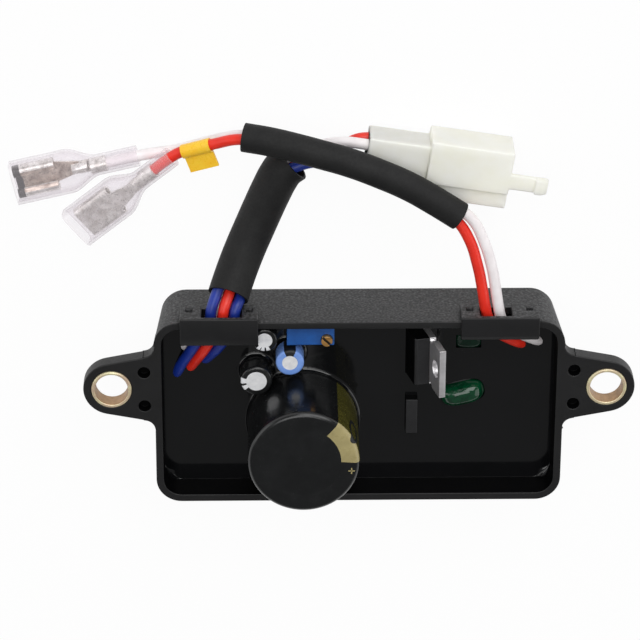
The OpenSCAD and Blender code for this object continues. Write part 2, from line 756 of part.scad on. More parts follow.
// Printed sleeve shrunk over a can, folded in at both ends
module electrolytic_sleeve(at, d, h, tint) {
    color(tint) translate([at[0], at[1], board_top]) rotate_extrude()
        difference() {
            square([d / 2, h]);
            translate([-over, film_t]) square([d / 2 - film_t + over, h - 2 * film_t]);
            translate([-over, -over]) square([open_share * d / 2 + over, h + 2 * over]);
        }
}

// Half section of a can with a round top edge
module can_half(r, h, edge) {
    square([r, h - edge]);
    square([r - edge, h]);
    translate([r - edge, h - edge]) circle(edge);
}

module main_capacitor_can() {
    color([0.80, 0.80, 0.82]) translate([main_at[0], main_at[1], board_top + film_t])
        rotate_extrude() can_half(main_d / 2 - film_t, main_h - 3 * film_t, main_edge - film_t);
}

module main_capacitor_sleeve() {
    color([0.06, 0.06, 0.06]) translate([main_at[0], main_at[1], board_top]) rotate_extrude()
        difference() {
            can_half(main_d / 2, main_h, main_edge);
            translate([0, film_t])
                can_half(main_d / 2 - film_t, main_h - 2 * film_t, main_edge - film_t);
            translate([-over, -over]) square([main_open * main_d / 2 + over, main_h + 2 * over]);
        }
}

// Insulating disc on the can's end, held under the sleeve's folded edge
module main_capacitor_disc() {
    color([0.07, 0.07, 0.07])
        translate([main_at[0], main_at[1], board_top + main_h - 2 * film_t])
            cylinder(d = main_d - 2 * main_edge - fit_gap, h = film_t);
}

module main_capacitor_pins() {
    color([0.75, 0.75, 0.73]) straight_leads(main_leads, board_top + film_t);
}

module slim_capacitor_can() { electrolytic_can(slim_at, slim_d, small_h); }

module slim_capacitor_sleeve() {
    electrolytic_sleeve(slim_at, slim_d, small_h, [0.06, 0.06, 0.06]);
}

module stout_capacitor_can() { electrolytic_can(stout_at, stout_d, small_h); }

module stout_capacitor_sleeve() {
    electrolytic_sleeve(stout_at, stout_d, small_h, [0.06, 0.06, 0.06]);
}

module blue_capacitor_can() { electrolytic_can(blue_at, blue_d, small_h); }

module blue_capacitor_sleeve() {
    electrolytic_sleeve(blue_at, blue_d, small_h, [0.30, 0.48, 0.75]);
}

module capacitor_leads() {
    color([0.75, 0.75, 0.73]) {
        straight_leads(small_leads, board_top + film_t);
        straight_leads(film_leads, board_top);
    }
}

// Block of the trimmer, grown by gap
module trimmer_block(gap = 0) {
    translate([trim_x - trim_l / 2 - gap, trim_y - trim_w / 2 - gap, board_top - gap])
        cube([trim_l + 2 * gap, trim_w + 2 * gap, trim_h + gap]);
}

module trimmer_body() {
    color([0.14, 0.36, 0.72]) difference() {
        trimmer_block();
        translate([screw_at[0], screw_at[1], trim_top - screw_seat])
            cylinder(d = screw_d + 2 * screw_play, h = screw_seat + over);
        translate([screw_at[0], screw_at[1], trim_top - screw_seat - stem_l - screw_play])
            cylinder(d = stem_d + 2 * screw_play, h = stem_l + screw_seat);
    }
}

module trimmer_screw() {
    slot_t = 0.5;
    slot_depth = 0.7;
    head_h = screw_seat + screw_proud - screw_play;
    color([0.80, 0.58, 0.28])
        translate([screw_at[0], screw_at[1], trim_top - screw_seat + screw_play])
            difference() {
                union() {
                    cylinder(d = screw_d, h = head_h);
                    translate([0, 0, -stem_l]) cylinder(d = stem_d, h = stem_l + head_h / 2);
                }
                translate([0, 0, head_h]) rotate([0, 0, -45])
                    cube([2 * screw_d, slot_t, 2 * slot_depth], center = true);
            }
}

module trimmer_pins() {
    color([0.75, 0.75, 0.73]) straight_leads(trim_leads, board_top);
}

// Frame of the power transistor, leaning towards +X about its foot
module transistor_frame() {
    translate([tab_at[0], tab_at[1], board_top + tab_stand]) rotate([0, tab_lean, 0]) children();
}

module transistor_body_block(gap = 0) {
    translate([-body_t + tab_t / 2 - gap, -tab_w / 2 - gap, -gap])
        cube([body_t + 2 * gap, tab_w + 2 * gap, body_h + 2 * gap]);
}

module transistor_tab_block(gap = 0) {
    translate([tab_t / 2 - gap, -tab_w / 2 - gap, -gap])
        cube([tab_t + 2 * gap, tab_w + 2 * gap, tab_h + 2 * gap]);
}

// Leaning leads that run down to the straight ones in the board
module transistor_lead_stubs(gap = 0) {
    bend = tab_lead_d / 2;
    reach = tab_stand / cos(tab_lean) - bend;
    for (l = tab_leads)
        translate([l[0], l[1], board_top]) {
            cylinder(d = l[2] + 2 * gap, h = bend, $fn = 24);
            translate([0, 0, tab_stand]) rotate([0, tab_lean, 0]) translate([0, 0, -reach])
                cylinder(d = l[2] + 2 * gap, h = reach + gap, $fn = 24);
        }
}

module transistor_space(gap) {
    transistor_frame() {
        transistor_body_block(gap);
        transistor_tab_block(gap);
    }
    transistor_lead_stubs(gap);
}

module transistor_body() {
    edge = 0.8;
    color([0.08, 0.08, 0.09]) transistor_frame() difference() {
        transistor_body_block();
        translate([-body_t + tab_t / 2, 0, body_h]) rotate([0, 45, 0])
            cube([edge, tab_w + over, edge], center = true);
    }
}

module transistor_tab() {
    hole_inset = 2.8;
    nick_d = 1.6;
    color([0.78, 0.78, 0.78]) transistor_frame() difference() {
        transistor_tab_block();
        translate([0, 0, tab_h - hole_inset]) rotate([0, 90, 0])
            cylinder(d = tab_hole, h = 3 * tab_t);
        for (s = [-1, 1])
            translate([0, s * tab_w / 2, body_h + nick_d / 2]) rotate([0, 90, 0])
                cylinder(d = nick_d, h = 3 * tab_t);
    }
}

module transistor_leads() {
    color([0.75, 0.75, 0.73]) {
        straight_leads(tab_leads, board_top + tab_lead_d / 4);
        transistor_lead_stubs();
        straight_leads(signal_leads, signal_bottom);
    }
}

// Flat body of the small transistor, seen on its edge
module signal_block(gap = 0) {
    translate([signal_at[0] - signal_t / 2 - gap, signal_at[1] - signal_w / 2 - gap,
        signal_bottom - gap])
        cube([signal_t + 2 * gap, signal_w + 2 * gap,
            resin_z + signal_proud - signal_bottom + gap]);
    if (gap > 0) straight_leads(signal_leads, signal_bottom, gap);
}

module signal_transistor() { color([0.08, 0.08, 0.09]) signal_block(); }

// Dipped film capacitor: a pillow with edges rounded by a share of its thickness
film_round = 0.42;

module film_block(at, l, w, proud, gap = 0, turn = 0) {
    h = resin_z + proud - board_top;
    r = film_round * w;
    translate([at[0], at[1], board_top]) rotate([0, 0, turn]) intersection() {
        translate([0, 0, -gap]) linear_extrude(h + 2 * gap)
            rounded_rect(l + 2 * gap, w + 2 * gap, r);
        translate([0, 0, h / 2]) rotate([90, 0, 0])
            linear_extrude(2 * w, center = true) rounded_rect(l + 2 * gap, h + 2 * gap, r);
        translate([0, 0, h / 2]) rotate([90, 0, 90])
            linear_extrude(2 * l, center = true) rounded_rect(w + 2 * gap, h + 2 * gap, r);
    }
}

module large_film_capacitor() {
    color([0.10, 0.35, 0.22]) film_block(film_at, film_l, film_w, film_proud, 0, film_turn);
}

module small_film_capacitor() {
    color([0.07, 0.22, 0.16]) film_block(mini_at, mini_l, mini_w, mini_proud);
}

// Lying component with its leads bent down through the board, along X, about its middle
module axial_part(d, l, gap = 0) {
    rise = d / 2 + fit_gap;
    translate([0, 0, board_top + rise]) rotate([0, 90, 0]) {
        cylinder(d = d + 2 * gap, h = l + 2 * gap, center = true, $fn = 32);
        cylinder(d = lead_d + 2 * gap, h = axial_pitch + lead_d + 2 * gap, center = true, $fn = 24);
    }
    for (s = [-1, 1])
        translate([s * axial_pitch / 2, 0, lead_tip_z - gap])
            cylinder(d = lead_d + 2 * gap, h = board_top + rise - lead_tip_z + gap, $fn = 24);
}

module diode_space(gap = 0) {
    for (x = diode_xs) translate([x, diode_y, 0]) rotate([0, 0, 90])
        axial_part(diode_d, diode_l, gap);
}

module resistor_space(gap = 0) {
    for (at = resistor_at) translate([at[0], at[1], 0]) axial_part(resistor_d, resistor_l, gap);
}

module rectifier_diodes() { color([0.10, 0.10, 0.10]) diode_space(); }

module resistors() { color([0.60, 0.50, 0.36]) resistor_space(); }

module blue_outer_wire() { color([0.10, 0.22, 0.62]) cord(blue_outer_route, wire_d / 2); }

module red_sense_wire() { color([0.85, 0.12, 0.12]) cord(red_sense_route, wire_d / 2); }

module blue_inner_wire() { color([0.10, 0.20, 0.58]) cord(blue_inner_route, wire_d / 2); }

module white_sense_wire() { color([0.90, 0.88, 0.88]) cord(white_sense_route, wire_d / 2); }

module red_brush_wire() { color([0.88, 0.14, 0.10]) cord(red_brush_route, wire_d / 2); }

module white_brush_wire() { color([0.92, 0.90, 0.90]) cord(white_brush_route, wire_d / 2); }

module wide_sleeve() {
    color([0.13, 0.13, 0.13]) sleeve(wide_route, wide_od / 2, wide_od / 2 - sleeve_wall);
}

module slim_sleeve() {
    color([0.13, 0.13, 0.13]) sleeve(slim_route, slim_od / 2, slim_od / 2 - sleeve_wall);
}

// Frame of the plug, its own X pointing out of its mouth
module plug_frame() {
    translate(plug_at) rotate([0, 0, plug_turn]) children();
}

// The four contact places, as the cross-section's y and z
contact_places = [for (y = [-1, 1], z = [-1, 1])
    [y * contact_pitch / 2, row_z + z * row_pitch / 2]];

module plug_housing() {
    rear_w = shroud_w - 2 * rear_side;
    rear_h = shroud_h - 2 * rear_inset;
    hollow_h = shroud_h - 2.5 * shroud_wall;
    step_w = 3.2;
    step_h = 0.6 * shroud_wall;
    hole_w = contact_pitch - cell_wall;
    hole_h = row_pitch - cell_wall / 2;
    color([0.93, 0.93, 0.88]) plug_frame() difference() {
        union() {
            translate([0, -rear_w / 2, rear_inset]) cube([rear_l + over, rear_w, rear_h]);
            translate([rear_l, -shroud_w / 2, 0]) cube([shroud_l, shroud_w, shroud_h]);
            translate([rear_l + shroud_l / 2, -latch_w / 2, shroud_h - latch_t])
                cube([shroud_l / 2 + latch_l, latch_w, latch_t]);
            translate([rear_l + shroud_l + latch_l, latch_w / 2, shroud_h - latch_t / 2])
                rotate([90, 0, 0]) linear_extrude(latch_w)
                    polygon([[0, 0], [0, latch_t / 2], [-latch_t, latch_t / 2 + latch_hook],
                        [-2 * latch_t, latch_t / 2 + latch_hook], [-2 * latch_t, 0]]);
        }
        translate([rear_l + shroud_wall, -shroud_w / 2 + shroud_wall, shroud_wall])
            cube([shroud_l, shroud_w - 2 * shroud_wall, hollow_h]);
        translate([rear_l - over, -shroud_w / 2 - over, shroud_h - step_h])
            cube([shroud_l + 2 * over, step_w + over, step_h + over]);
        for (c = contact_places) translate([-over, c[0] - hole_w / 2, c[1] - hole_h / 2])
            cube([rear_l + 4 * over, hole_w, hole_h]);
    }
}

// Four contacts: a closed crimp in the rear body and a flat blade in the shroud
module plug_blades() {
    crimp_w = contact_pitch - cell_wall - 2 * fit_gap;
    crimp_h = row_pitch - cell_wall / 2 - 2 * fit_gap;
    color([0.78, 0.78, 0.76]) plug_frame() for (c = contact_places) translate([0, c[0], c[1]]) {
        translate([contact_start, -crimp_w / 2, -crimp_h / 2])
            cube([rear_l - contact_start, crimp_w, crimp_h]);
        translate([rear_l - over, 0, 0]) rotate([90, 0, 90])
            linear_extrude(blade_l + shroud_wall + over)
                square([blade_w, blade_t], center = true);
    }
}

// Frame of a receptacle, its own X pointing out of its mouth
module spade_frame(at, turn, pitch, roll) {
    translate(at) rotate([0, pitch, turn]) rotate([roll, 0, 0]) children();
}

// Section of the rolled box: a flat back with both edges rolled over
module spade_section() {
    half = spade_w / 2 - roll_r;
    lift = roll_r - sheet_t / 2;
    translate([-half, -sheet_t / 2]) square([2 * half, sheet_t]);
    for (s = [-1, 1]) translate([s * half, lift]) difference() {
        circle(roll_r);
        circle(roll_r - sheet_t);
        translate([s > 0 ? -2 * roll_r : 0, -2 * roll_r]) square([2 * roll_r, 2.6 * roll_r]);
    }
    for (s = [-1, 1]) translate([s * half, lift]) difference() {
        circle(roll_r);
        circle(roll_r - sheet_t);
        translate([s > 0 ? -2 * roll_r : 0, -2 * roll_r]) square([2 * roll_r, 4 * roll_r]);
    }
}

// Receptacle rolled from sheet: insulation barrel, core barrel, neck and rolled box
module receptacle() {
    grip_r = wire_d / 2 + barrel_play;
    core_r = 0.9 * grip_r;
    channel_l = core_barrel_x - barrel_start + barrel_l / 2;
    neck_x = core_barrel_x + barrel_l / 3;
    neck_half = 1;
    box_half = spade_w / 2 - roll_r;
    floor_z = -grip_r - sheet_t / 2;
    translate([barrel_start, 0, 0]) rotate([0, 90, 0]) difference() {
        cylinder(r = grip_r + sheet_t, h = channel_l);
        translate([0, 0, -over]) cylinder(r = grip_r, h = channel_l + 2 * over);
        translate([-3 * grip_r, -2 * grip_r, barrel_l])
            cube([3.6 * grip_r, 4 * grip_r, channel_l]);
    }
    translate([core_barrel_x, 0, core_r - grip_r - sheet_t / 2]) rotate([0, 90, 0])
        cylinder(r = core_r, h = barrel_l);
    translate([0, 0, floor_z - sheet_t / 2]) linear_extrude(sheet_t)
        polygon([[neck_x, -neck_half], [spade_x + sheet_t, -box_half],
            [spade_x + sheet_t, box_half], [neck_x, neck_half]]);
    translate([spade_x, 0, floor_z]) rotate([90, 0, 90]) linear_extrude(spade_l) spade_section();
}

module red_receptacle() {
    color([0.72, 0.72, 0.72])
        spade_frame(red_spade_at, red_spade_turn, red_spade_pitch, 180) receptacle();
}

module white_receptacle() {
    color([0.72, 0.72, 0.72])
        spade_frame(white_spade_at, white_spade_turn, white_spade_pitch, 0)
            translate([white_slide, 0, 0]) receptacle();
}

// Form of a clear shroud, shrunk by its wall for the hollow inside
module cover_form(inset) {
    mouth_x = tail_l + taper_l;
    cover_r = cover_h / 2 - cover_flat;
    reach = inset > 0 ? over : 0;
    translate([-reach, 0, 0]) rotate([0, 90, 0])
        cylinder(d = tail_d - 2 * inset, h = tail_l + reach);
    hull() {
        translate([tail_l, 0, 0]) rotate([0, 90, 0])
            cylinder(d = tail_d - 2 * inset, h = 0.01, $fn = 32);
        translate([mouth_x, 0, 0]) rotate([90, 0, 90]) linear_extrude(0.01)
            rounded_rect(cover_w - 2 * inset, cover_h - 2 * inset, cover_r - inset, $fn = 32);
    }
    translate([mouth_x, 0, 0]) rotate([90, 0, 90]) linear_extrude(cover_l - mouth_x + reach)
        rounded_rect(cover_w - 2 * inset, cover_h - 2 * inset, cover_r - inset);
}

module cover() {
    color([0.9, 0.9, 0.92, 0.5]) difference() {
        cover_form(0);
        cover_form(cover_wall);
    }
}

module red_shroud() {
    spade_frame(red_spade_at, red_spade_turn, red_spade_pitch, 180) cover();
}

module white_shroud() {
    spade_frame(white_spade_at, white_spade_turn, white_spade_pitch, 0) cover();
}

// Tape folded round the red brush wire, its two ends pressed together as a flag
module marker_flag() {
    run = flag_to - flag_from;
    turn = atan2(run[1], run[0]);
    pitch = -asin(run[2] / norm(run));
    bore = wire_d / 2 + barrel_play;
    color([0.95, 0.78, 0.12]) translate((flag_from + flag_to) / 2) rotate([0, pitch, turn])
        rotate([90, 0, 90]) linear_extrude(flag_l, center = true) difference() {
            union() {
                circle(bore + flag_t);
                translate([0, -flag_t]) square([flag_reach, 2 * flag_t]);
            }
            circle(bore);
        }
}

case();
left_bushing();
right_bushing();
left_wire_clip();
right_wire_clip();
circuit_board();
potting_resin();
main_capacitor_can();
main_capacitor_sleeve();
main_capacitor_disc();
main_capacitor_pins();
slim_capacitor_can();
slim_capacitor_sleeve();
stout_capacitor_can();
stout_capacitor_sleeve();
blue_capacitor_can();
blue_capacitor_sleeve();
capacitor_leads();
trimmer_body();
trimmer_screw();
trimmer_pins();
transistor_body();
transistor_tab();
transistor_leads();
signal_transistor();
large_film_capacitor();
small_film_capacitor();
rectifier_diodes();
resistors();
blue_outer_wire();
red_sense_wire();
blue_inner_wire();
white_sense_wire();
red_brush_wire();
white_brush_wire();
wide_sleeve();
slim_sleeve();
plug_housing();
plug_blades();
red_receptacle();
white_receptacle();
red_shroud();
white_shroud();
marker_flag();
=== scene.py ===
"""Looks of a portable generator's voltage regulator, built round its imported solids.

The case lies on its back on a pale floor, with both harnesses laid out behind it on the +Y side.
Sizes in the classes are millimetres in the frame of the solids, and mm() turns them into metres.
"""

from __future__ import annotations

import json
import logging
import math
from contextlib import contextmanager
from dataclasses import dataclass, field
from enum import Enum
from typing import Any, Callable, Iterator, Sequence

import bmesh
import bpy
from mathutils import Matrix, Vector

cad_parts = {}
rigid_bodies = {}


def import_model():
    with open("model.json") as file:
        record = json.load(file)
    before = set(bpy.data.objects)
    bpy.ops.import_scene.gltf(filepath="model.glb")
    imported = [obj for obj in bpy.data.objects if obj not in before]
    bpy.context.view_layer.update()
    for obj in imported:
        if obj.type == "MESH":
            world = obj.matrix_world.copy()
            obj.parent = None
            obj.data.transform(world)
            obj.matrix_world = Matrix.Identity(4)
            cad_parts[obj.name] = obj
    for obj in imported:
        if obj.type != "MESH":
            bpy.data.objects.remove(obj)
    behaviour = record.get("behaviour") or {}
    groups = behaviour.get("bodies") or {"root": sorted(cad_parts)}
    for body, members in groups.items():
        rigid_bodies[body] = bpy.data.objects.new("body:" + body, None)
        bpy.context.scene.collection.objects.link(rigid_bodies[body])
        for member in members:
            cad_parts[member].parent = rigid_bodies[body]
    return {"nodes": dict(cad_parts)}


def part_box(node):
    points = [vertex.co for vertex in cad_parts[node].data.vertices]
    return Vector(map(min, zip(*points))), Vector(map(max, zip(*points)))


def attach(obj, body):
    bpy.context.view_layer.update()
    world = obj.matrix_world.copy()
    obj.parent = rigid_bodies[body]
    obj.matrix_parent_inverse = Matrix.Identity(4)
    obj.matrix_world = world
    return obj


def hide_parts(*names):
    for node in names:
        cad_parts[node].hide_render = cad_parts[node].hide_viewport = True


LOG = logging.getLogger("regulator")
METRES_PER_MM = 0.001
UP = Vector((0, 0, 1))

# Sockets of the Mix node when it mixes colours: its share, its two colours and its result
MIX_FACTOR, MIX_FIRST, MIX_SECOND, MIX_RESULT = 0, 6, 7, 2

# Noise values between which a slow cloud and a fine grain go from one end of their range to the other
CLOUD_RANGE = (0.35, 0.68)
GRAIN_RANGE = (0.3, 0.7)

# Turn in degrees under which neighbouring faces count as one flat, and gap in mm that a seam may have
FLAT_TURN = 0.6
SEAM = 0.002

# Turns in degrees up to which moulded pieces and soft ones are shaded as round
MOULDED_TURN = 35.0
SOFT_TURN = 50.0

# Share of a face's normal that points up or down, under which the face counts as standing
STANDING = 0.5

Point = tuple[float, float, float]
Flat = tuple[float, float]
Colour = tuple[float, float, float, float]
FaceTest = Callable[[Vector, Vector], bool]

# The scene starts empty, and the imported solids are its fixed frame
for leftover in list(bpy.data.objects):
    bpy.data.objects.remove(leftover)
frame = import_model()
NODES: dict[str, bpy.types.Object] = frame["nodes"]


class Body(Enum):
    """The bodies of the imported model."""

    REGULATOR = "regulator"
    ADJUSTER = "adjuster"


def mm(value: float) -> float:
    """Turns millimetres into metres."""
    return value * METRES_PER_MM


def at(point: Sequence[float]) -> Vector:
    """Turns a point in millimetres into a vector in metres."""
    return Vector(point) * METRES_PER_MM


def per_mm(size: float) -> float:
    """Texture scale at which a pattern on Object coordinates repeats every size millimetres."""
    return 1 / mm(size)


def linear(colour: str) -> Colour:
    """Turns an sRGB hex colour into linear light.

    Args:
        colour: The colour as a hash and six hex digits.

    Returns:
        Red, green and blue in linear light, and full alpha.
    """
    parts = [int(colour[i:i + 2], 16) / 255 for i in (1, 3, 5)]
    red, green, blue = (p / 12.92 if p <= 0.04045 else ((p + 0.055) / 1.055) ** 2.4 for p in parts)
    return red, green, blue, 1.0


def add_node(
    tree: bpy.types.NodeTree,
    kind: str,
    settings: dict[str, Any] | None = None,
    inputs: dict[str | int, Any] | None = None,
) -> bpy.types.Node:
    """Adds a node with its settings and links.

    Args:
        tree: The node tree it goes into.
        kind: The node's type name.
        settings: Values of the node's own properties.
        inputs: For each input, by name or place, a value or the socket that feeds it.

    Returns:
        The new node.
    """
    node = tree.nodes.new(kind)
    for key, value in (settings or {}).items():
        setattr(node, key, value)
    for key, value in (inputs or {}).items():
        if isinstance(value, bpy.types.NodeSocket):
            tree.links.new(value, node.inputs[key])
        else:
            node.inputs[key].default_value = value
    return node


def noise(
    tree: bpy.types.NodeTree,
    place: bpy.types.NodeSocket,
    size: float,
    detail: float,
    roughness: float = 0.5,
) -> bpy.types.NodeSocket:
    """Adds a noise pattern.

    Args:
        tree: The material's node tree.
        place: The coordinates that it lies on.
        size: Width of its swells in millimetres.
        detail: How many finer layers lie over them.
        roughness: How strong the finer layers are.

    Returns:
        The socket with its value.
    """
    values = {"Vector": place, "Scale": per_mm(size), "Detail": detail, "Roughness": roughness}
    return add_node(tree, "ShaderNodeTexNoise", None, values).outputs[0]


def spread(
    tree: bpy.types.NodeTree,
    value: bpy.types.NodeSocket,
    limits: Flat,
    low: float = 0.0,
    high: float = 1.0,
) -> bpy.types.NodeSocket:
    """Spreads the values between two limits over a new range.

    Args:
        tree: The material's node tree.
        value: The socket with the values.
        limits: The values that become the new range's ends.
        low: The new range's low end.
        high: Its high end.

    Returns:
        The socket with the new value.
    """
    values = {"Value": value, "From Min": limits[0], "From Max": limits[1], "To Min": low, "To Max": high}
    return add_node(tree, "ShaderNodeMapRange", None, values).outputs[0]


def blend(
    tree: bpy.types.NodeTree,
    share: bpy.types.NodeSocket,
    first: Any,
    second: Any,
) -> bpy.types.NodeSocket:
    """Blends two colours, each a value or a socket, by a share, and returns the socket with the result."""
    inputs = {MIX_FACTOR: share, MIX_FIRST: first, MIX_SECOND: second}
    return add_node(tree, "ShaderNodeMix", {"data_type": "RGBA"}, inputs).outputs[MIX_RESULT]


# Finishes


@dataclass(frozen=True)
class Finish:
    """A surface of one colour that clouds towards a second, with the fine grain that its making left."""

    name: str
    colour: str
    shade: str
    roughness: float
    cloud_mm: float = 7.0
    grain_mm: float = 0.5
    relief_mm: float = 0.01
    rough_spread: float = 0.06
    metallic: float = 0.0
    ior: float = 1.5
    coat: float = 0.0
    coat_roughness: float = 0.06
    least_roughness: float = 0.02

    def material(self) -> bpy.types.Material:
        """Makes the material at its first use and returns it."""
        made = bpy.data.materials.get(self.name)
        if made is None:
            made = bpy.data.materials.new(self.name)
            made.use_nodes = True
            shader = made.node_tree.nodes["Principled BSDF"]
            for socket, value in self.sockets().items():
                shader.inputs[socket].default_value = value
            self.pattern(made.node_tree, shader)
        return made

    def sockets(self) -> dict[str, Any]:
        """Values that are the same all over the surface, by the shader's socket."""
        values = {"Roughness": self.roughness, "Metallic": self.metallic,
                  "Base Color": linear(self.colour)}
        if not self.metallic:
            values["IOR"] = self.ior
        if self.coat:
            values.update({"Coat Weight": self.coat, "Coat Roughness": self.coat_roughness})
        return values

    def place(self, tree: bpy.types.NodeTree) -> bpy.types.NodeSocket:
        """The coordinates that the patterns lie on."""
        return add_node(tree, "ShaderNodeTexCoord").outputs["Object"]

    def pattern(self, tree: bpy.types.NodeTree, shader: bpy.types.Node) -> None:
        """Clouds the colour, varies the gloss and lifts the grain.

        Args:
            tree: The material's node tree.
            shader: The Principled shader that it feeds.
        """
        place = self.place(tree)
        cloud = noise(tree, place, self.cloud_mm, detail=4.0, roughness=0.6)
        tint = blend(tree, spread(tree, cloud, CLOUD_RANGE), linear(self.colour), linear(self.shade))
        grain = noise(tree, place, self.grain_mm, detail=3.0)
        gloss = spread(tree, grain, GRAIN_RANGE,
                       max(self.least_roughness, self.roughness - self.rough_spread),
                       min(1.0, self.roughness + self.rough_spread))
        lift = add_node(tree, "ShaderNodeBump", None,
                        {"Height": grain, "Strength": 1.0, "Distance": mm(self.relief_mm)}).outputs[0]
        for socket, source in (("Base Color", tint), ("Roughness", gloss), ("Normal", lift)):
            tree.links.new(source, shader.inputs[socket])


@dataclass(frozen=True)
class Speckled(Finish):
    """Spark-eroded moulding skin: black plastic whose tiny peaks catch the light, shown as grey specks
    painted in as highlights.
    """

    speck: str = "#6a6a6c"
    speck_mm: float = 0.5
    speck_share: float = 0.5
    peak_range: Flat = (0.42, 0.7)

    def pattern(self, tree: bpy.types.NodeTree, shader: bpy.types.Node) -> None:
        """Adds the specks, painted highlights, over the cloud and grain.

        Args:
            tree: The material's node tree.
            shader: The Principled shader that it feeds.
        """
        super().pattern(tree, shader)
        skin = shader.inputs["Base Color"]
        peaks = noise(tree, self.place(tree), self.speck_mm, detail=2.0)
        share = spread(tree, peaks, self.peak_range, high=self.speck_share)
        tree.links.new(blend(tree, share, skin.links[0].from_socket, linear(self.speck)), skin)


@dataclass(frozen=True)
class Brushed(Finish):
    """Rolled or drawn metal: fine lines along one axis of the frame."""

    stretch: Point = (0.06, 1.0, 1.0)

    def place(self, tree: bpy.types.NodeTree) -> bpy.types.NodeSocket:
        """The coordinates, stretched along the lines."""
        plain = add_node(tree, "ShaderNodeTexCoord").outputs["Object"]
        stretched = add_node(tree, "ShaderNodeMapping", None, {"Vector": plain, "Scale": self.stretch})
        return stretched.outputs[0]


@dataclass(frozen=True)
class Milky(Finish):
    """Unfilled nylon: waxy, slightly see-through, so light spreads under its skin."""

    depth_mm: float = 2.4
    glow: float = 0.9
    colour_reach: Point = (1.0, 1.0, 1.0)

    def sockets(self) -> dict[str, Any]:
        """Adds the light that spreads under the skin."""
        return super().sockets() | {
            "Subsurface Weight": self.glow,
            "Subsurface Scale": mm(self.depth_mm),
            "Subsurface Radius": self.colour_reach,
        }


@dataclass(frozen=True)
class ClearVinyl(Finish):
    """Clear vinyl: see-through with a soft gloss, so the lamps still light the metal inside."""

    body: float = 0.08
    rim: float = 0.5
    tint: str = "#fcfbfc"
    rim_blend: float = 0.35

    def pattern(self, tree: bpy.types.NodeTree, shader: bpy.types.Node) -> None:
        """Mixes a thin milky skin with plain see-through, and lets shadow rays pass.

        Args:
            tree: The material's node tree.
            shader: The Principled shader that it feeds.
        """
        super().pattern(tree, shader)
        output = tree.nodes["Material Output"]
        clear = add_node(tree, "ShaderNodeBsdfTransparent", None, {"Color": linear(self.tint)})
        edge = add_node(tree, "ShaderNodeLayerWeight", None, {"Blend": self.rim_blend})
        share = spread(tree, edge.outputs["Facing"], (0.0, 1.0), self.body, self.rim)
        skin = add_node(tree, "ShaderNodeMixShader", None,
                        {0: share, 1: clear.outputs[0], 2: shader.outputs[0]})
        rays = add_node(tree, "ShaderNodeLightPath")
        through = add_node(tree, "ShaderNodeMixShader", None,
                           {0: rays.outputs["Is Shadow Ray"], 1: skin.outputs[0], 2: clear.outputs[0]})
        tree.links.new(through.outputs[0], output.inputs["Surface"])


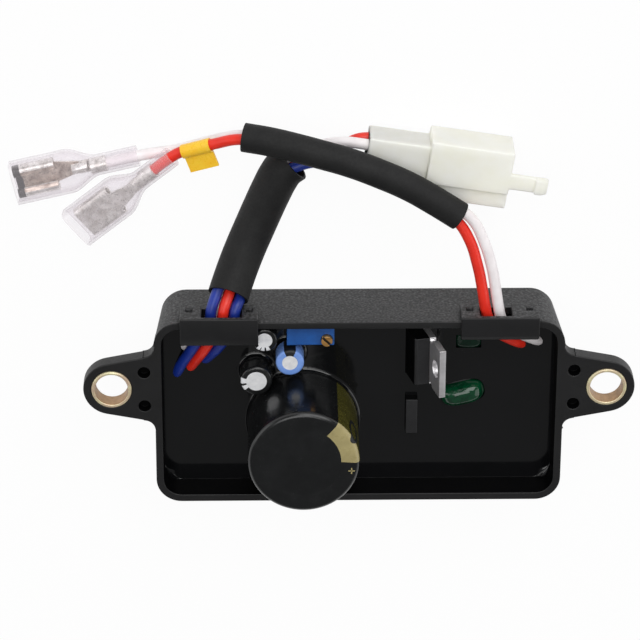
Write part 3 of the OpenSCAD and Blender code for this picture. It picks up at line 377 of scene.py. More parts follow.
class Finishes:
    """The finishes of the regulator, by its record's material slots, and some for parts of a piece."""

    # Each row gives a name, two colours and a roughness, then cloud, grain and relief in millimetres
    SLOTS: dict[str, Finish] = {
        # Glass-filled nylon, moulded: smooth black skin with a soft shine on rim and ears
        "moulded_case": Finish("moulded_black_nylon", "#0c0c0d", "#131314", 0.5, 9, 0.35, 0.006, ior=1.45),
        "clip_plastic": Finish("moulded_black_clip", "#0c0c0e", "#131315", 0.5, 6, 0.4, 0.006, ior=1.45),
        # Yellow chromate over zinc: pale gold that drifts to green and pink
        "zinc_bushing": Finish("yellow_passivated_zinc", "#e6dfb4", "#d0b49c", 0.36, 2.2, 0.3, 0.004,
                               metallic=0.45),
        # Bare paper board: dull brown
        "board_laminate": Finish("brown_paper_laminate", "#8a6a3c", "#7a5a30", 0.6, 3, 0.4, 0.01),
        # Poured epoxy: black and mirror smooth, with slow swells from its cure
        "potting_resin": Finish("poured_black_epoxy", "#08090a", "#0b0b0d", 0.09, 12, 5.0, 0.015, 0.03,
                                ior=1.52),
        # Drawn aluminium: its matt top throws most of the light back
        "can_aluminium": Finish("drawn_aluminium", "#f2f2f3", "#dfe0e3", 0.5, 1.6, 0.25, 0.004,
                                metallic=0.25),
        # Shrunk vinyl film: glossy black with faint ripples
        "black_film": Finish("shrunk_black_vinyl", "#0f1011", "#161718", 0.22, 6, 1.6, 0.008, ior=1.5),
        "blue_film": Finish("shrunk_blue_vinyl", "#7a9ee2", "#6890d6", 0.24, 3, 1.0, 0.005, ior=1.53),
        # Tinned wire: bright grey with drawn lines
        "tinned_lead": Brushed("tinned_copper_lead", "#c9cacc", "#a9abae", 0.3, 2, 0.3, 0.003, metallic=1.0),
        # Moulded box of the trimmer: even blue with a soft shine
        "trimmer_plastic": Finish("moulded_blue_polyester", "#1f5aa6", "#194e94", 0.4, 3, 0.5, 0.006),
        # Turned brass: warm yellow with fine tool lines
        "trimmer_brass": Brushed("turned_brass", "#e0b070", "#c8944f", 0.32, 0.8, 0.15, 0.003, metallic=0.8),
        # Moulded packages: satin black, a little greyer than the case
        "package_plastic": Finish("moulded_black_epoxy", "#131315", "#1c1c1e", 0.5, 2, 0.3, 0.006),
        # Tinned copper tab: pale grey with rolled lines
        "tab_metal": Brushed("tinned_tab", "#e2e0e2", "#cbc9cb", 0.36, 2.2, 0.35, 0.004, metallic=0.8),
        # Dip coat: thick glossy green lacquer
        "green_dip": Finish("green_dip_lacquer", "#064327", "#032a18", 0.1, 2.2, 1.8, 0.08, 0.03, coat=0.2),
        # Sprayed coat of the resistors: dull beige
        "resistor_body": Finish("sprayed_resistor_coat", "#c9b48a", "#bfa678", 0.5, 1.5, 0.3, 0.006),
        # Extruded vinyl insulation: satin, with faint draw marks
        "blue_wire": Finish("blue_vinyl_insulation", "#16349a", "#112a80", 0.42, 3, 0.5, 0.006),
        "red_wire": Finish("red_vinyl_insulation", "#f0321f", "#e22a1a", 0.36, 3, 0.5, 0.006),
        "white_wire": Finish("white_vinyl_insulation", "#f8f3f4", "#f0e9ea", 0.38, 3, 0.5, 0.006),
        # Extruded vinyl tube: dull black with dust and handling marks
        "sleeving": Finish("black_vinyl_tube", "#0b0b0c", "#161616", 0.66, 4, 0.45, 0.014, ior=1.4),
        # Natural nylon: waxy off-white that glows at its edges
        "plug_nylon": Milky("natural_nylon", "#fffcec", "#fcf8e4", 0.5, 5, 0.6, 0.006),
        # Tin plating: grey with a fine mottle, brighter on its folds
        "contact_tin": Finish("tin_plated_brass", "#faf8f4", "#c6c1ba", 0.32, 1.3, 0.6, 0.03, 0.12, 0.6),
        # Clear covers: hardly seen face on, whiter towards their rims
        "clear_shroud": ClearVinyl("clear_vinyl", "#faf5f8", "#f2ebf0", 0.14, 4, 1.4, 0.03),
        # Vinyl tape: strong yellow with a soft shine
        "marker_tape": Finish("yellow_vinyl_tape", "#ffd23a", "#ffc42a", 0.3, 3, 0.6, 0.01),
    }
    # Moulding skin of the outer walls and of the clips' legs: black with fine grey specks, painted
    # highlights on its peaks
    WALL = Speckled("spark_eroded_black_nylon_with_painted_highlights", "#121213", "#1c1c1d", 0.62, 5, 0.6, 0.08)
    # Painted shade for the walls inside the case, the faces in its windows and core holes and the
    # transistors' shaded sides, which send hardly any light back and fade to black
    PAINTED_SHADE_BLACK = Finish("shaded_black_nylon", "#050506", "#080809", 0.4, 6, 0.6, 0.003, ior=1.12)
    # Bore of a spacer, where the passivation stayed thick and brown
    BORE = Finish("brown_passivated_bore", "#b8946c", "#9c7c58", 0.45, 1.5, 0.3, 0.006, metallic=0.3)
    # Slot of the trimmer's screw, which the light hardly reaches
    DARK_BRASS = Finish("brass_in_shade", "#3a2a18", "#2a1e10", 0.5, 0.6, 0.2, 0.004)
    # Inside of a receptacle: tin with painted shade and a painted reflection of the brown brass round it,
    # and black painted shade at the mouth
    TIN_WITH_PAINTED_SHADE_AND_REFLECTION = Finish("tin_with_painted_shade_and_reflection", "#f7e8da", "#9a877b", 0.32, 2.2, 0.6, 0.04, 0.1, 0.6)
    DARK_TIN = Finish("tin_in_shade", "#100e0d", "#1c1917", 0.5, 1.0, 0.3, 0.006)
    # Thin skin of lacquer over a small part that the resin nearly drowned, darker than the large capacitor's
    # both for the resin over it and as painted shade under the clip
    DARK_GREEN = Finish("drowned_and_shaded_green_lacquer", "#06281a", "#041c12", 0.16, 2.0, 1.2, 0.02, ior=1.4)
    # Inks on the capacitors' films: the gold on the side is a darker olive copy, painted shade where the
    # side faces away from the lamps
    GOLD_PRINT = Finish("gold_print_on_vinyl", "#aca070", "#9c9064", 0.3, 3, 0.8, 0.004)
    SHADED_GOLD_PRINT = Finish("shaded_gold_print_on_vinyl", "#48451b", "#3b3915", 0.26, 3, 0.8, 0.004)
    WHITE_PRINT = Finish("white_print_on_vinyl", "#e6e7ea", "#d6d8dc", 0.3, 2, 0.5, 0.004)
    DARK_PRINT = Finish("dark_print_on_vinyl", "#0b0e12", "#090b0f", 0.5, 2, 0.5, 0.004)


# Modelling tools


def take(obj: bpy.types.Object) -> None:
    """Makes one object the only selected one, and the active one."""
    if bpy.context.object and bpy.context.object.mode != "OBJECT":
        bpy.ops.object.mode_set(mode="OBJECT")
    for other in bpy.context.view_layer.objects:
        other.select_set(False)
    obj.select_set(True)
    bpy.context.view_layer.objects.active = obj


@contextmanager
def editing(obj: bpy.types.Object, mode: str = "VERT") -> Iterator[None]:
    """Opens an object in edit mode with all of it selected, and closes it again.

    Args:
        obj: The mesh object.
        mode: What is selected, as VERT, EDGE or FACE.

    Yields:
        Nothing; edit operators act on the object meanwhile.
    """
    take(obj)
    bpy.ops.object.mode_set(mode="EDIT")
    bpy.ops.mesh.select_mode(type=mode)
    bpy.ops.mesh.select_all(action="SELECT")
    yield
    bpy.ops.object.mode_set(mode="OBJECT")


def pick(obj: bpy.types.Object, kind: str, test: Callable[[Any], bool]) -> int:
    """Selects only the vertices, edges or faces that pass a test, in edit mode.

    Args:
        obj: The object being edited.
        kind: verts, edges or faces.
        test: Tells of each one whether it is wanted.

    Returns:
        How many were selected.
    """
    bpy.ops.mesh.select_all(action="DESELECT")
    mesh = bmesh.from_edit_mesh(obj.data)
    wanted = [part for part in getattr(mesh, kind) if test(part)]
    for part in wanted:
        part.select_set(True)
    bmesh.update_edit_mesh(obj.data)
    return len(wanted)


def apply_modifier(obj: bpy.types.Object, kind: str, **settings: Any) -> None:
    """Adds a modifier with its settings and applies it.

    Args:
        obj: The mesh object.
        kind: The modifier's type.
        **settings: The modifier's own values.
    """
    take(obj)
    modifier = obj.modifiers.new(kind.lower(), kind)
    for key, value in settings.items():
        setattr(modifier, key, value)
    bpy.ops.object.modifier_apply(modifier=modifier.name)


def join(piece: bpy.types.Object, *parts: bpy.types.Object) -> None:
    """Joins parts to a piece, which keeps its name."""
    take(piece)
    for part in parts:
        part.select_set(True)
    bpy.ops.object.join()


def smooth(obj: bpy.types.Object, angle: float = MOULDED_TURN) -> None:
    """Shades an object smooth except where it turns by more than an angle in degrees."""
    take(obj)
    bpy.ops.object.shade_smooth_by_angle(angle=math.radians(angle))


def soften(
    node: str,
    name: str,
    width: float,
    where: Callable[[Vector], bool] = lambda middle: True,
    sharp: float = 40.0,
    weld: float = 0.004,
) -> bpy.types.Object:
    """Copies a solid and breaks its sharp edges, as moulding or tumbling does.

    Args:
        node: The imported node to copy.
        name: The new piece's name.
        width: Width of the broken edge in millimetres; 0 leaves the edges.
        where: Tells by an edge's middle, in millimetres, whether it is broken.
        sharp: Turn in degrees above which an edge counts as sharp.
        weld: Gap in millimetres under which points are merged.

    Returns:
        The new object.
    """
    obj = bpy.data.objects.new(name, NODES[node].data.copy())
    obj.data.materials.clear()
    bpy.context.scene.collection.objects.link(obj)

    def wanted(edge: bmesh.types.BMEdge) -> bool:
        """Tells whether an edge is sharp and in the part that is softened."""
        middle = (edge.verts[0].co + edge.verts[1].co) / mm(2)
        is_sharp = len(edge.link_faces) == 2 and edge.calc_face_angle(0) > math.radians(sharp)
        return is_sharp and where(middle)

    with editing(obj, "EDGE"):
        bpy.ops.mesh.remove_doubles(threshold=mm(weld))
        bpy.ops.mesh.dissolve_limited(angle_limit=math.radians(FLAT_TURN))
        if width and pick(obj, "edges", wanted):
            bpy.ops.mesh.bevel(offset=mm(width), segments=2, profile=0.5, affect="EDGES",
                               clamp_overlap=False, loop_slide=False)
            bpy.ops.mesh.select_all(action="SELECT")
            bpy.ops.mesh.remove_doubles(threshold=mm(weld))
    smooth(obj)
    apply_modifier(obj, "WEIGHTED_NORMAL", keep_sharp=True)
    return obj


def draw_line(name: str, points: Sequence[Sequence[float]]) -> bpy.types.Object:
    """Draws an open line by extruding one point along its corners.

    Args:
        name: The new object's name.
        points: The corners in millimetres.

    Returns:
        The object, with edges only.
    """
    bpy.ops.mesh.primitive_plane_add(size=mm(1), location=(0, 0, 0))
    obj = bpy.context.object
    obj.name = name
    with editing(obj):
        bpy.ops.mesh.merge(type="CENTER")
        bpy.ops.transform.translate(value=at(points[0]))
        for before, after in zip(points, points[1:]):
            bpy.ops.mesh.extrude_region_move(TRANSFORM_OT_translate={"value": at(after) - at(before)})
    return obj


def turned(name: str, profile: Sequence[Flat], centre: Flat, steps: int) -> bpy.types.Object:
    """Spins a profile of radius and height about an upright axis.

    Args:
        name: The new object's name.
        profile: Pairs of radius and height in millimetres, from one end to the other.
        centre: The axis's x and y in millimetres.
        steps: How many faces go round.

    Returns:
        The object, with its faces pointing out.
    """
    obj = draw_line(name, [(centre[0] + radius, centre[1], height) for radius, height in profile])
    with editing(obj):
        bpy.ops.mesh.spin(steps=steps, angle=math.tau, center=at((*centre, 0)), axis=UP)
        bpy.ops.mesh.select_all(action="SELECT")
        bpy.ops.mesh.remove_doubles(threshold=mm(SEAM))
        bpy.ops.mesh.normals_make_consistent(inside=False)
    smooth(obj)
    return obj


def seat(node: str) -> tuple[Flat, float, float]:
    """Reads where a round upright solid stands.

    Args:
        node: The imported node.

    Returns:
        Its middle, its diameter and the height of its top, in millimetres.
    """
    low, high = (corner / METRES_PER_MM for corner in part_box(node))
    middle = (low + high) / 2
    return (middle.x, middle.y), max(high.x - low.x, high.y - low.y), high.z


def ringed_tube(name: str, around: int, rings: int) -> bpy.types.Object:
    """Makes an open upright tube of radius and height 1 that is cut into rings, to be bent to a shape.

    Args:
        name: The new object's name.
        around: How many faces go round.
        rings: How many cuts lie between its ends.

    Returns:
        The tube, with its middle at the origin.
    """
    bpy.ops.mesh.primitive_cylinder_add(vertices=around, radius=1, depth=1, end_fill_type="NOTHING")
    tube = bpy.context.object
    tube.name = name
    with editing(tube, "EDGE"):
        pick(tube, "edges", lambda edge: edge.verts[0].co.z * edge.verts[1].co.z < 0)
        bpy.ops.mesh.subdivide(number_cuts=rings)
    return tube


def arc(centre: Flat, radius: float, start: float, end: float, steps: int = 5) -> list[Flat]:
    """Points on an arc.

    Args:
        centre: The arc's middle.
        radius: Its radius.
        start: First angle in degrees.
        end: Last angle in degrees.
        steps: How many straight stretches it has.

    Returns:
        The points, both ends among them.
    """
    turns = [math.radians(start + (end - start) * i / steps) for i in range(steps + 1)]
    return [(centre[0] + radius * math.cos(a), centre[1] + radius * math.sin(a)) for a in turns]


def paint(obj: bpy.types.Object, finish: Finish, test: FaceTest | None = None) -> None:
    """Gives a whole piece, or the faces that pass a test, a finish.

    Args:
        obj: The piece.
        finish: Its finish.
        test: Tells by a face's middle in millimetres and its normal whether it is painted.
    """
    material = finish.material()
    if test is None:
        obj.data.materials.clear()
        obj.data.materials.append(material)
        return
    obj.data.materials.append(material)
    place = len(obj.data.materials) - 1
    for face in obj.data.polygons:
        if test(face.center / METRES_PER_MM, face.normal):
            face.material_index = place


def settle(obj: bpy.types.Object, slot: str, *nodes: str, body: Body = Body.REGULATOR) -> bpy.types.Object:
    """Ties a finished piece to its body, its material slot and the nodes that it stands for.

    Args:
        obj: The piece.
        slot: The record's material slot.
        *nodes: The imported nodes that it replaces.
        body: The body that it rides on.

    Returns:
        The same piece.
    """
    if not obj.data.materials:
        paint(obj, Finishes.SLOTS[slot])
    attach(obj, body.value)
    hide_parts(*nodes)
    LOG.info("piece %s stands for %s", obj.name, ", ".join(nodes))
    return obj


# Sub-assemblies


@dataclass
class Housing:
    """The moulded case with its two metal spacers and the clips over its wires."""

    edge: float = 0.22
    bushing_edge: float = 0.3
    clip_edge: float = 0.25
    soft_from_z: float = 11.6
    half_length: float = 40.5
    half_width: float = 20.0
    rim_z: float = 16.0
    wall: float = 1.5
    draft: float = 0.6
    draft_lean: float = 0.75
    slack: float = 0.1
    barb_from: float = 0.05
    ear_y: float = 5.4
    core_hole_x: float = 42.5
    core_hole_off: float = 3.7
    core_hole_reach: float = 1.25
    hole_x: float = 49.0
    bore: float = 3.25

    def build(self) -> None:
        """Builds the case, spacers and clips."""
        self.build_case()
        for side in ("left", "right"):
            spacer = soften(f"{side}_bushing", f"{side}_spacer", self.bushing_edge)
            paint(spacer, Finishes.SLOTS["zinc_bushing"])
            paint(spacer, Finishes.BORE, self.is_bore)
            settle(spacer, "zinc_bushing", f"{side}_bushing")
            clip = soften(f"{side}_wire_clip", f"{side}_clip", self.clip_edge)
            paint(clip, Finishes.SLOTS["clip_plastic"])
            paint(clip, Finishes.WALL, self.is_clip_leg)
            settle(clip, "clip_plastic", f"{side}_wire_clip")

    def build_case(self) -> None:
        """Softens the case's upper edges, gives its outer walls their grain and painted highlights, and
        paints shade inside.
        """
        case = soften("case", "moulded_box", self.edge, lambda middle: middle.z > self.soft_from_z)
        paint(case, Finishes.SLOTS["moulded_case"])
        paint(case, Finishes.WALL, self.is_outer_wall)
        # Painted shade: the walls inside, the clips' windows and the core holes turn near black
        paint(case, Finishes.PAINTED_SHADE_BLACK, self.is_in_painted_shade)
        settle(case, "moulded_case", "case")

    def is_clip_leg(self, middle: Vector, normal: Vector) -> bool:
        """Tells whether a face of a clip is outside the wall and under its rim."""
        return middle.y > self.half_width and middle.z < self.rim_z

    def is_bore(self, middle: Vector, normal: Vector) -> bool:
        """Tells whether a face of a spacer looks at its own axis."""
        from_axis = math.hypot(abs(middle.x) - self.hole_x, middle.y - self.ear_y)
        return abs(normal.z) < STANDING and from_axis < self.bore + self.slack

    def is_outer_wall(self, middle: Vector, normal: Vector) -> bool:
        """Tells whether a face is on the outside of the four walls."""
        along_x = abs(normal.x) > abs(normal.y)
        outward = normal.x * middle.x > 0 if along_x else normal.y * middle.y > 0
        return outward and abs(normal.z) < self.draft_lean and abs(middle.x) < self.half_length + self.draft

    def is_in_painted_shade(self, middle: Vector, normal: Vector) -> bool:
        """Tells whether a face is inside the walls, in a clip's window or in a core hole, where shade is
        painted.
        """
        x, y = abs(middle.x), abs(middle.y)
        within = x < self.half_length - self.wall / 2 and y < self.half_width - self.wall / 2
        inner = within and abs(normal.z) < STANDING and normal.to_2d().dot(middle.to_2d()) < 0
        barb = middle.y > self.half_width + self.barb_from and x < self.half_length
        off_hole = math.hypot(x - self.core_hole_x, abs(middle.y - self.ear_y) - self.core_hole_off)
        return inner or barb or (off_hole < self.core_hole_reach and middle.z < self.rim_z - self.slack)


@dataclass
class Potting:
    """The poured resin, with the raised rims round each part and the fillets in the case's corners."""

    level: float = 9.5
    creep: float = 1.3
    least_creep: float = 0.01
    corner: float = 3.4
    corner_steps: int = 8
    fillet_steps: int = 5

    def build(self) -> None:
        """Copies the poured form with smooth shading and joins the corners' fillets to it."""
        resin = soften("potting_resin", "poured_resin", 0, weld=SEAM)
        rim = self.build_rim()
        for part in (resin, rim):
            paint(part, Finishes.SLOTS["potting_resin"])
        join(resin, rim)
        settle(resin, "potting_resin", "potting_resin")

    def build_rim(self) -> bpy.types.Object:
        """Bends a tube into the outline, with a hollow fillet where the resin crept up the corners."""
        low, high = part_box("potting_resin")
        straight = (high - low) / mm(2) - Vector((self.corner, self.corner, 0))
        per_corner = self.corner_steps + 1
        count = 4 * per_corner
        rim = ringed_tube("resin_rim", count, self.fillet_steps)
        for vertex in rim.data.vertices:
            place = round(math.atan2(vertex.co.y, vertex.co.x) / math.tau * count) % count
            quarter, step = divmod(place, per_corner)
            turn = math.radians(90 * (quarter + step / self.corner_steps))
            bend = math.radians(90 * (vertex.co.z + 0.5))
            creep = self.least_creep + self.creep * math.sin(math.pi * step / self.corner_steps) ** 2
            reach = self.corner - creep * (1 - math.sin(bend))
            x = (straight.x if quarter in (0, 3) else -straight.x) + reach * math.cos(turn)
            y = (straight.y if quarter in (0, 1) else -straight.y) + reach * math.sin(turn)
            vertex.co = at((x, y, self.level + creep * (1 - math.cos(bend))))
        with editing(rim):
            bpy.ops.mesh.flip_normals()
        smooth(rim, SOFT_TURN)
        return rim


@dataclass
class MainCapacitor:
    """The tall smoothing capacitor in its black shrunk film with a gold stripe."""

    node: str = "main_capacitor_sleeve"
    film: float = 0.3
    foot_z: float = 4.6
    shoulder: float = 1.0
    lip_share: float = 0.67
    stripe_from: float = 2.0
    stripe_to: float = 51.0
    end_lean: float = 0.4
    plus_turn: float = -11.0
    plus_share: float = 0.87
    plus_size: Point = (1.3, 0.24, 0.03)
    minus_turn: float = 27.0
    minus_z: float = 24.2
    minus_halves: Point = (3.3, 1.4, 0.4)
    minus_line: float = 0.18
    centre: Flat = field(init=False)
    radius: float = field(init=False)
    top_z: float = field(init=False)

    def __post_init__(self) -> None:
        """Takes the film's place and size from its solid."""
        self.centre, diameter, self.top_z = seat(self.node)
        self.radius = diameter / 2

    def build(self) -> None:
        """Builds the film, which ends in a lip over the disc."""
        edge_z = self.top_z - self.shoulder
        profile = [(self.radius - self.film, self.foot_z), (self.radius, self.foot_z)]
        profile += arc((self.radius - self.shoulder, edge_z), self.shoulder, 0, 90)
        profile += [(self.radius * self.lip_share, self.top_z - self.film)]
        sleeve = turned("main_capacitor_film", profile, self.centre, steps=90)
        paint(sleeve, Finishes.SLOTS["black_film"])
        # The stripe's side gets the gold with painted shade, its end on the shoulder the lit gold
        paint(sleeve, Finishes.SHADED_GOLD_PRINT, self.in_stripe)
        paint(sleeve, Finishes.GOLD_PRINT, self.in_stripe_end)
        self.print_marks(sleeve)
        settle(sleeve, "black_film", self.node)

    def in_stripe(self, middle: Vector, normal: Vector) -> bool:
        """Tells whether a face of the film is inside the gold stripe."""
        turn = math.degrees(math.atan2(middle.y - self.centre[1], middle.x - self.centre[0]))
        return self.stripe_from < turn < self.stripe_to

    def in_stripe_end(self, middle: Vector, normal: Vector) -> bool:
        """Tells whether a face is where the stripe bends over the shoulder and looks up to the lamps."""
        return normal.z > self.end_lean and self.in_stripe(middle, normal)

    def spot(self, turn: float, reach: float, height: float) -> Vector:
        """A place on the film by its direction in degrees, its distance from the axis and its height."""
        out = Matrix.Rotation(math.radians(turn), 3, "Z") @ Vector((reach, 0, height))
        return at(out) + at((*self.centre, 0))

    def print_marks(self, sleeve: bpy.types.Object) -> None:
        """Prints the plus beside the stripe and the outlined minus on it, as thin layers of ink."""
        inks = []
        plus_at = self.spot(self.plus_turn, self.radius * self.plus_share, self.top_z)
        for turn in (0, math.pi / 2):
            bpy.ops.mesh.primitive_cube_add(size=1, location=plus_at, rotation=(0, 0, turn))
            bar = bpy.context.object
            bar.scale = at(self.plus_size)
            paint(bar, Finishes.GOLD_PRINT)
            inks.append(bar)
        minus_at = self.spot(self.minus_turn, self.radius, self.minus_z)
        bpy.ops.mesh.primitive_torus_add(
            major_radius=1, minor_radius=self.minus_line, major_segments=48, minor_segments=8,
            location=minus_at, rotation=(0, math.pi / 2, math.radians(self.minus_turn)))
        loop = bpy.context.object
        loop.scale = at(self.minus_halves)
        bpy.ops.object.transform_apply(location=True, rotation=True, scale=True)
        self.lay_down(loop)
        paint(loop, Finishes.DARK_PRINT)
        join(sleeve, *inks, loop)

    def lay_down(self, ink: bpy.types.Object) -> None:
        """Bends ink that reaches above the film's side over its round shoulder."""
        axis = Vector(self.centre)
        edge = self.top_z - self.shoulder
        for vertex in ink.data.vertices:
            x, y, z = vertex.co / METRES_PER_MM
            out = Vector((x, y)) - axis
            if z > edge:
                bend = (z - edge) / self.shoulder
                lifted = self.shoulder + out.length - self.radius
                out = out.normalized() * (self.radius - self.shoulder + lifted * math.cos(bend))
                vertex.co = at((*(axis + out), edge + lifted * math.sin(bend)))


@dataclass
class SmallCapacitor:
    """A small electrolytic capacitor: a drawn can with a scored top in a shrunk film with printed marks."""

    node: str
    slot: str
    ink: Finish
    open_share: float
    score_turn: float
    marks: list[Flat]
    marks_side: bool = False
    foot_z: float = 6.0
    foot_share: float = 0.98
    can_round: float = 0.45
    dish: float = 0.03
    dish_halfway: float = 0.02
    film: float = 0.2
    film_gap: float = 0.02
    film_curl: float = 0.5
    film_lift: float = 0.06
    film_tip: float = 0.01
    score: float = 0.16
    score_height: float = 0.3
    score_share: float = 0.9
    end_lean: float = 0.3
    centre: Flat = field(init=False)
    diameter: float = field(init=False)
    top_z: float = field(init=False)

    def __post_init__(self) -> None:
        """Takes the film's place and size from its solid."""
        self.centre, self.diameter, self.top_z = seat(f"{self.node}_sleeve")

    def build(self) -> None:
        """Builds the can, its score line and its film."""
        outer = self.diameter / 2
        can = outer - self.film
        profile = [(can * self.foot_share, self.foot_z), (can, self.foot_z)]
        profile += arc((can - self.can_round, self.top_z - self.can_round), self.can_round, 0, 90)
        profile += [(can / 2, self.top_z - self.dish_halfway), (0, self.top_z - self.dish)]
        body = turned(f"{self.node}_drawn_can", profile, self.centre, steps=48)
        self.cut_score(body)
        settle(body, "can_aluminium", f"{self.node}_can")
        lip = outer * self.open_share
        film_top = self.top_z + self.film_lift
        film = [(can + self.film_gap, self.foot_z), (outer, self.foot_z)]
        film += [(outer, self.top_z - self.film_curl)]
        film += arc((outer - self.film_curl, film_top - self.film_curl), self.film_curl, 0, 90)
        film += [(lip + self.film_lift, film_top), (lip, self.top_z + self.film_tip)]
        sleeve = turned(f"{self.node}_film", film, self.centre, steps=72)
        paint(sleeve, Finishes.SLOTS[self.slot])
        paint(sleeve, self.ink, self.in_mark)
        settle(sleeve, self.slot, f"{self.node}_sleeve")

    def cut_score(self, body: bpy.types.Object) -> None:
        """Cuts the score line that lets the can vent."""
        bpy.ops.mesh.primitive_cube_add(size=1, location=at((*self.centre, self.top_z)))
        cutter = bpy.context.object
        length = self.diameter * self.open_share * self.score_share
        cutter.scale = at((length, self.score, self.score_height))
        cutter.rotation_euler.z = math.radians(self.score_turn)
        apply_modifier(body, "BOOLEAN", operation="DIFFERENCE", object=cutter, solver="EXACT")
        bpy.data.objects.remove(cutter)
        smooth(body)

    def in_mark(self, middle: Vector, normal: Vector) -> bool:
        """Tells whether a face of the film is in a printed mark, on its end or on its side too."""
        turn = math.degrees(math.atan2(middle.y - self.centre[1], middle.x - self.centre[0])) % 360
        marked = any(start < turn < end for start, end in self.marks)
        return marked and (self.marks_side or normal.z > self.end_lean)


@dataclass
class DippedCapacitor:
    """A film capacitor in thick lacquer that ran smooth into a pillow round its winding."""

    node: str
    finish: Finish
    length: float
    thickness: float
    turn: float = 0.0
    fullness: float = 0.72
    round_turn: float = 80.0

    def build(self) -> None:
        """Swells a ball until it fills the solid's length, thickness and height."""
        low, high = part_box(self.node)
        lie = Matrix.Translation((low + high) / 2) @ Matrix.Rotation(math.radians(self.turn), 4, "Z")
        halves = (mm(self.length / 2), mm(self.thickness / 2), (high.z - low.z) / 2)
        bpy.ops.mesh.primitive_uv_sphere_add(segments=64, ring_count=32, radius=1)
        pillow = bpy.context.object
        pillow.name = f"{self.node}_pillow"
        for vertex in pillow.data.vertices:
            swollen = [math.copysign(abs(c) ** self.fullness, c) for c in vertex.co]
            vertex.co = lie @ Vector([c * half for c, half in zip(swollen, halves)])
        smooth(pillow, self.round_turn)
        paint(pillow, self.finish)
        settle(pillow, "green_dip", self.node)


@dataclass
class Components:
    """The small capacitors, the trimmer and the transistors that stand out of the resin."""

    trimmer_edge: float = 0.18
    screw_edge: float = 0.07
    tab_edge: float = 0.1
    package_edge: float = 0.2
    package_lean: float = 0.6
    slot_share: float = 0.5
    slot_from: float = 0.1
    slot_to: float = 1.0
    small: list[SmallCapacitor] = field(default_factory=lambda: [
        SmallCapacitor("slim_capacitor", "black_film", Finishes.WHITE_PRINT,
                       open_share=0.62, score_turn=20.0, marks=[(225, 246), (252, 272), (282, 298)]),
        SmallCapacitor("stout_capacitor", "black_film", Finishes.WHITE_PRINT,
                       open_share=0.65, score_turn=80.0, marks=[(164, 188), (198, 222)]),
        SmallCapacitor("blue_capacitor", "blue_film", Finishes.DARK_PRINT,
                       open_share=0.55, score_turn=50.0, marks=[(66, 114)], marks_side=True),
    ])
    dipped: list[DippedCapacitor] = field(default_factory=lambda: [
        DippedCapacitor("large_film_capacitor", Finishes.SLOTS["green_dip"],
                        length=9.0, thickness=4.8, turn=14.0),
        DippedCapacitor("small_film_capacitor", Finishes.DARK_GREEN, length=6.4, thickness=4.2),
    ])

    def build(self) -> None:
        """Builds each component."""
        for capacitor in self.small:
            capacitor.build()
        settle(soften("trimmer_body", "trimmer_box", self.trimmer_edge), "trimmer_plastic", "trimmer_body")
        self.build_screw()
        settle(soften("transistor_tab", "transistor_plate", self.tab_edge), "tab_metal", "transistor_tab")
        packages = {"transistor_body": "transistor_block", "signal_transistor": "small_transistor"}
        for node, name in packages.items():
            package = soften(node, name, self.package_edge)
            paint(package, Finishes.SLOTS["package_plastic"])
            # Painted shade on the sides that look to the cable side or the left
            paint(package, Finishes.PAINTED_SHADE_BLACK, self.is_shaded)
            settle(package, "package_plastic", node)
        for capacitor in self.dipped:
            capacitor.build()

    def is_shaded(self, middle: Vector, normal: Vector) -> bool:
        """Tells whether a face of a transistor looks to the cable side or the left, in the case's shade."""
        return normal.x < -self.package_lean or normal.y > self.package_lean

    def build_screw(self) -> None:
        """Builds the trimmer's screw and darkens the inside of its slot."""
        low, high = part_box("trimmer_screw")
        axis = (low + high) / mm(2)
        reach = (high.x - low.x) / mm(2) * self.slot_share
        top = high.z / METRES_PER_MM

        def in_slot(middle: Vector, normal: Vector) -> bool:
            """Tells whether a face of the screw is inside its slot."""
            near_axis = (middle - axis).to_2d().length < reach
            return near_axis and top - self.slot_to < middle.z < top - self.slot_from

        screw = soften("trimmer_screw", "trimmer_adjuster", self.screw_edge)
        paint(screw, Finishes.SLOTS["trimmer_brass"])
        paint(screw, Finishes.DARK_BRASS, in_slot)
        settle(screw, "trimmer_brass", "trimmer_screw", body=Body.ADJUSTER)


def heading(route: Sequence[Vector], i: int) -> Vector:
    """Direction of a route at one of its points.

    Args:
        route: The points.
        i: Which point.

    Returns:
        The unit direction, halfway between the two stretches where there are two.
    """
    stretches = [(b - a).normalized() for a, b in zip(route, route[1:])]
    near = stretches[max(0, i - 1):i + 1]
    return sum(near, Vector()).normalized()


def beside(route: Sequence[Point], right: float, up: float, twist: float = -90.0) -> list[Point]:
    """A wire's place in its sleeve, beside the sleeve's middle line.

    Args:
        route: The sleeve's points.
        right: How far the wire lies to the right.
        up: How far it lies above.
        twist: How many degrees the bundle turns from end to end.

    Returns:
        The wire's points.
    """
    line = [Vector(p) for p in route]
    points = []
    for i, middle in enumerate(line):
        ahead = heading(line, i)
        side = ahead.cross(UP).normalized()
        above = side.cross(ahead)
        turn = math.radians(twist) * i / (len(line) - 1)
        across = right * math.cos(turn) - up * math.sin(turn)
        over = right * math.sin(turn) + up * math.cos(turn)
        points.append(tuple(middle + side * across + above * over))
    return points


@dataclass
class Spade:
    """Where a spade receptacle lies: its cover's rear end, turns in degrees and slide in the cover."""

    colour: str
    rear: Point
    turn: float
    pitch: float
    roll: float
    slide: float = 0.0
    shows_inside: bool = False
    wire_enters: float = 0.4
    wire_ends: float = 7.5

    def matrix(self) -> Matrix:
        """The receptacle's own frame, in millimetres."""
        lie = Matrix.Translation(self.rear)
        for angle, axis in ((self.turn, "Z"), (self.pitch, "Y"), (self.roll, "X")):
            lie = lie @ Matrix.Rotation(math.radians(angle), 4, axis)
        return lie

    def wire_end(self) -> list[Point]:
        """Points where the wire enters the cover and where it ends in its crimp."""
        stops = (self.wire_enters, self.wire_ends + self.slide)
        return [tuple(self.matrix() @ Vector((x, 0, 0))) for x in stops]


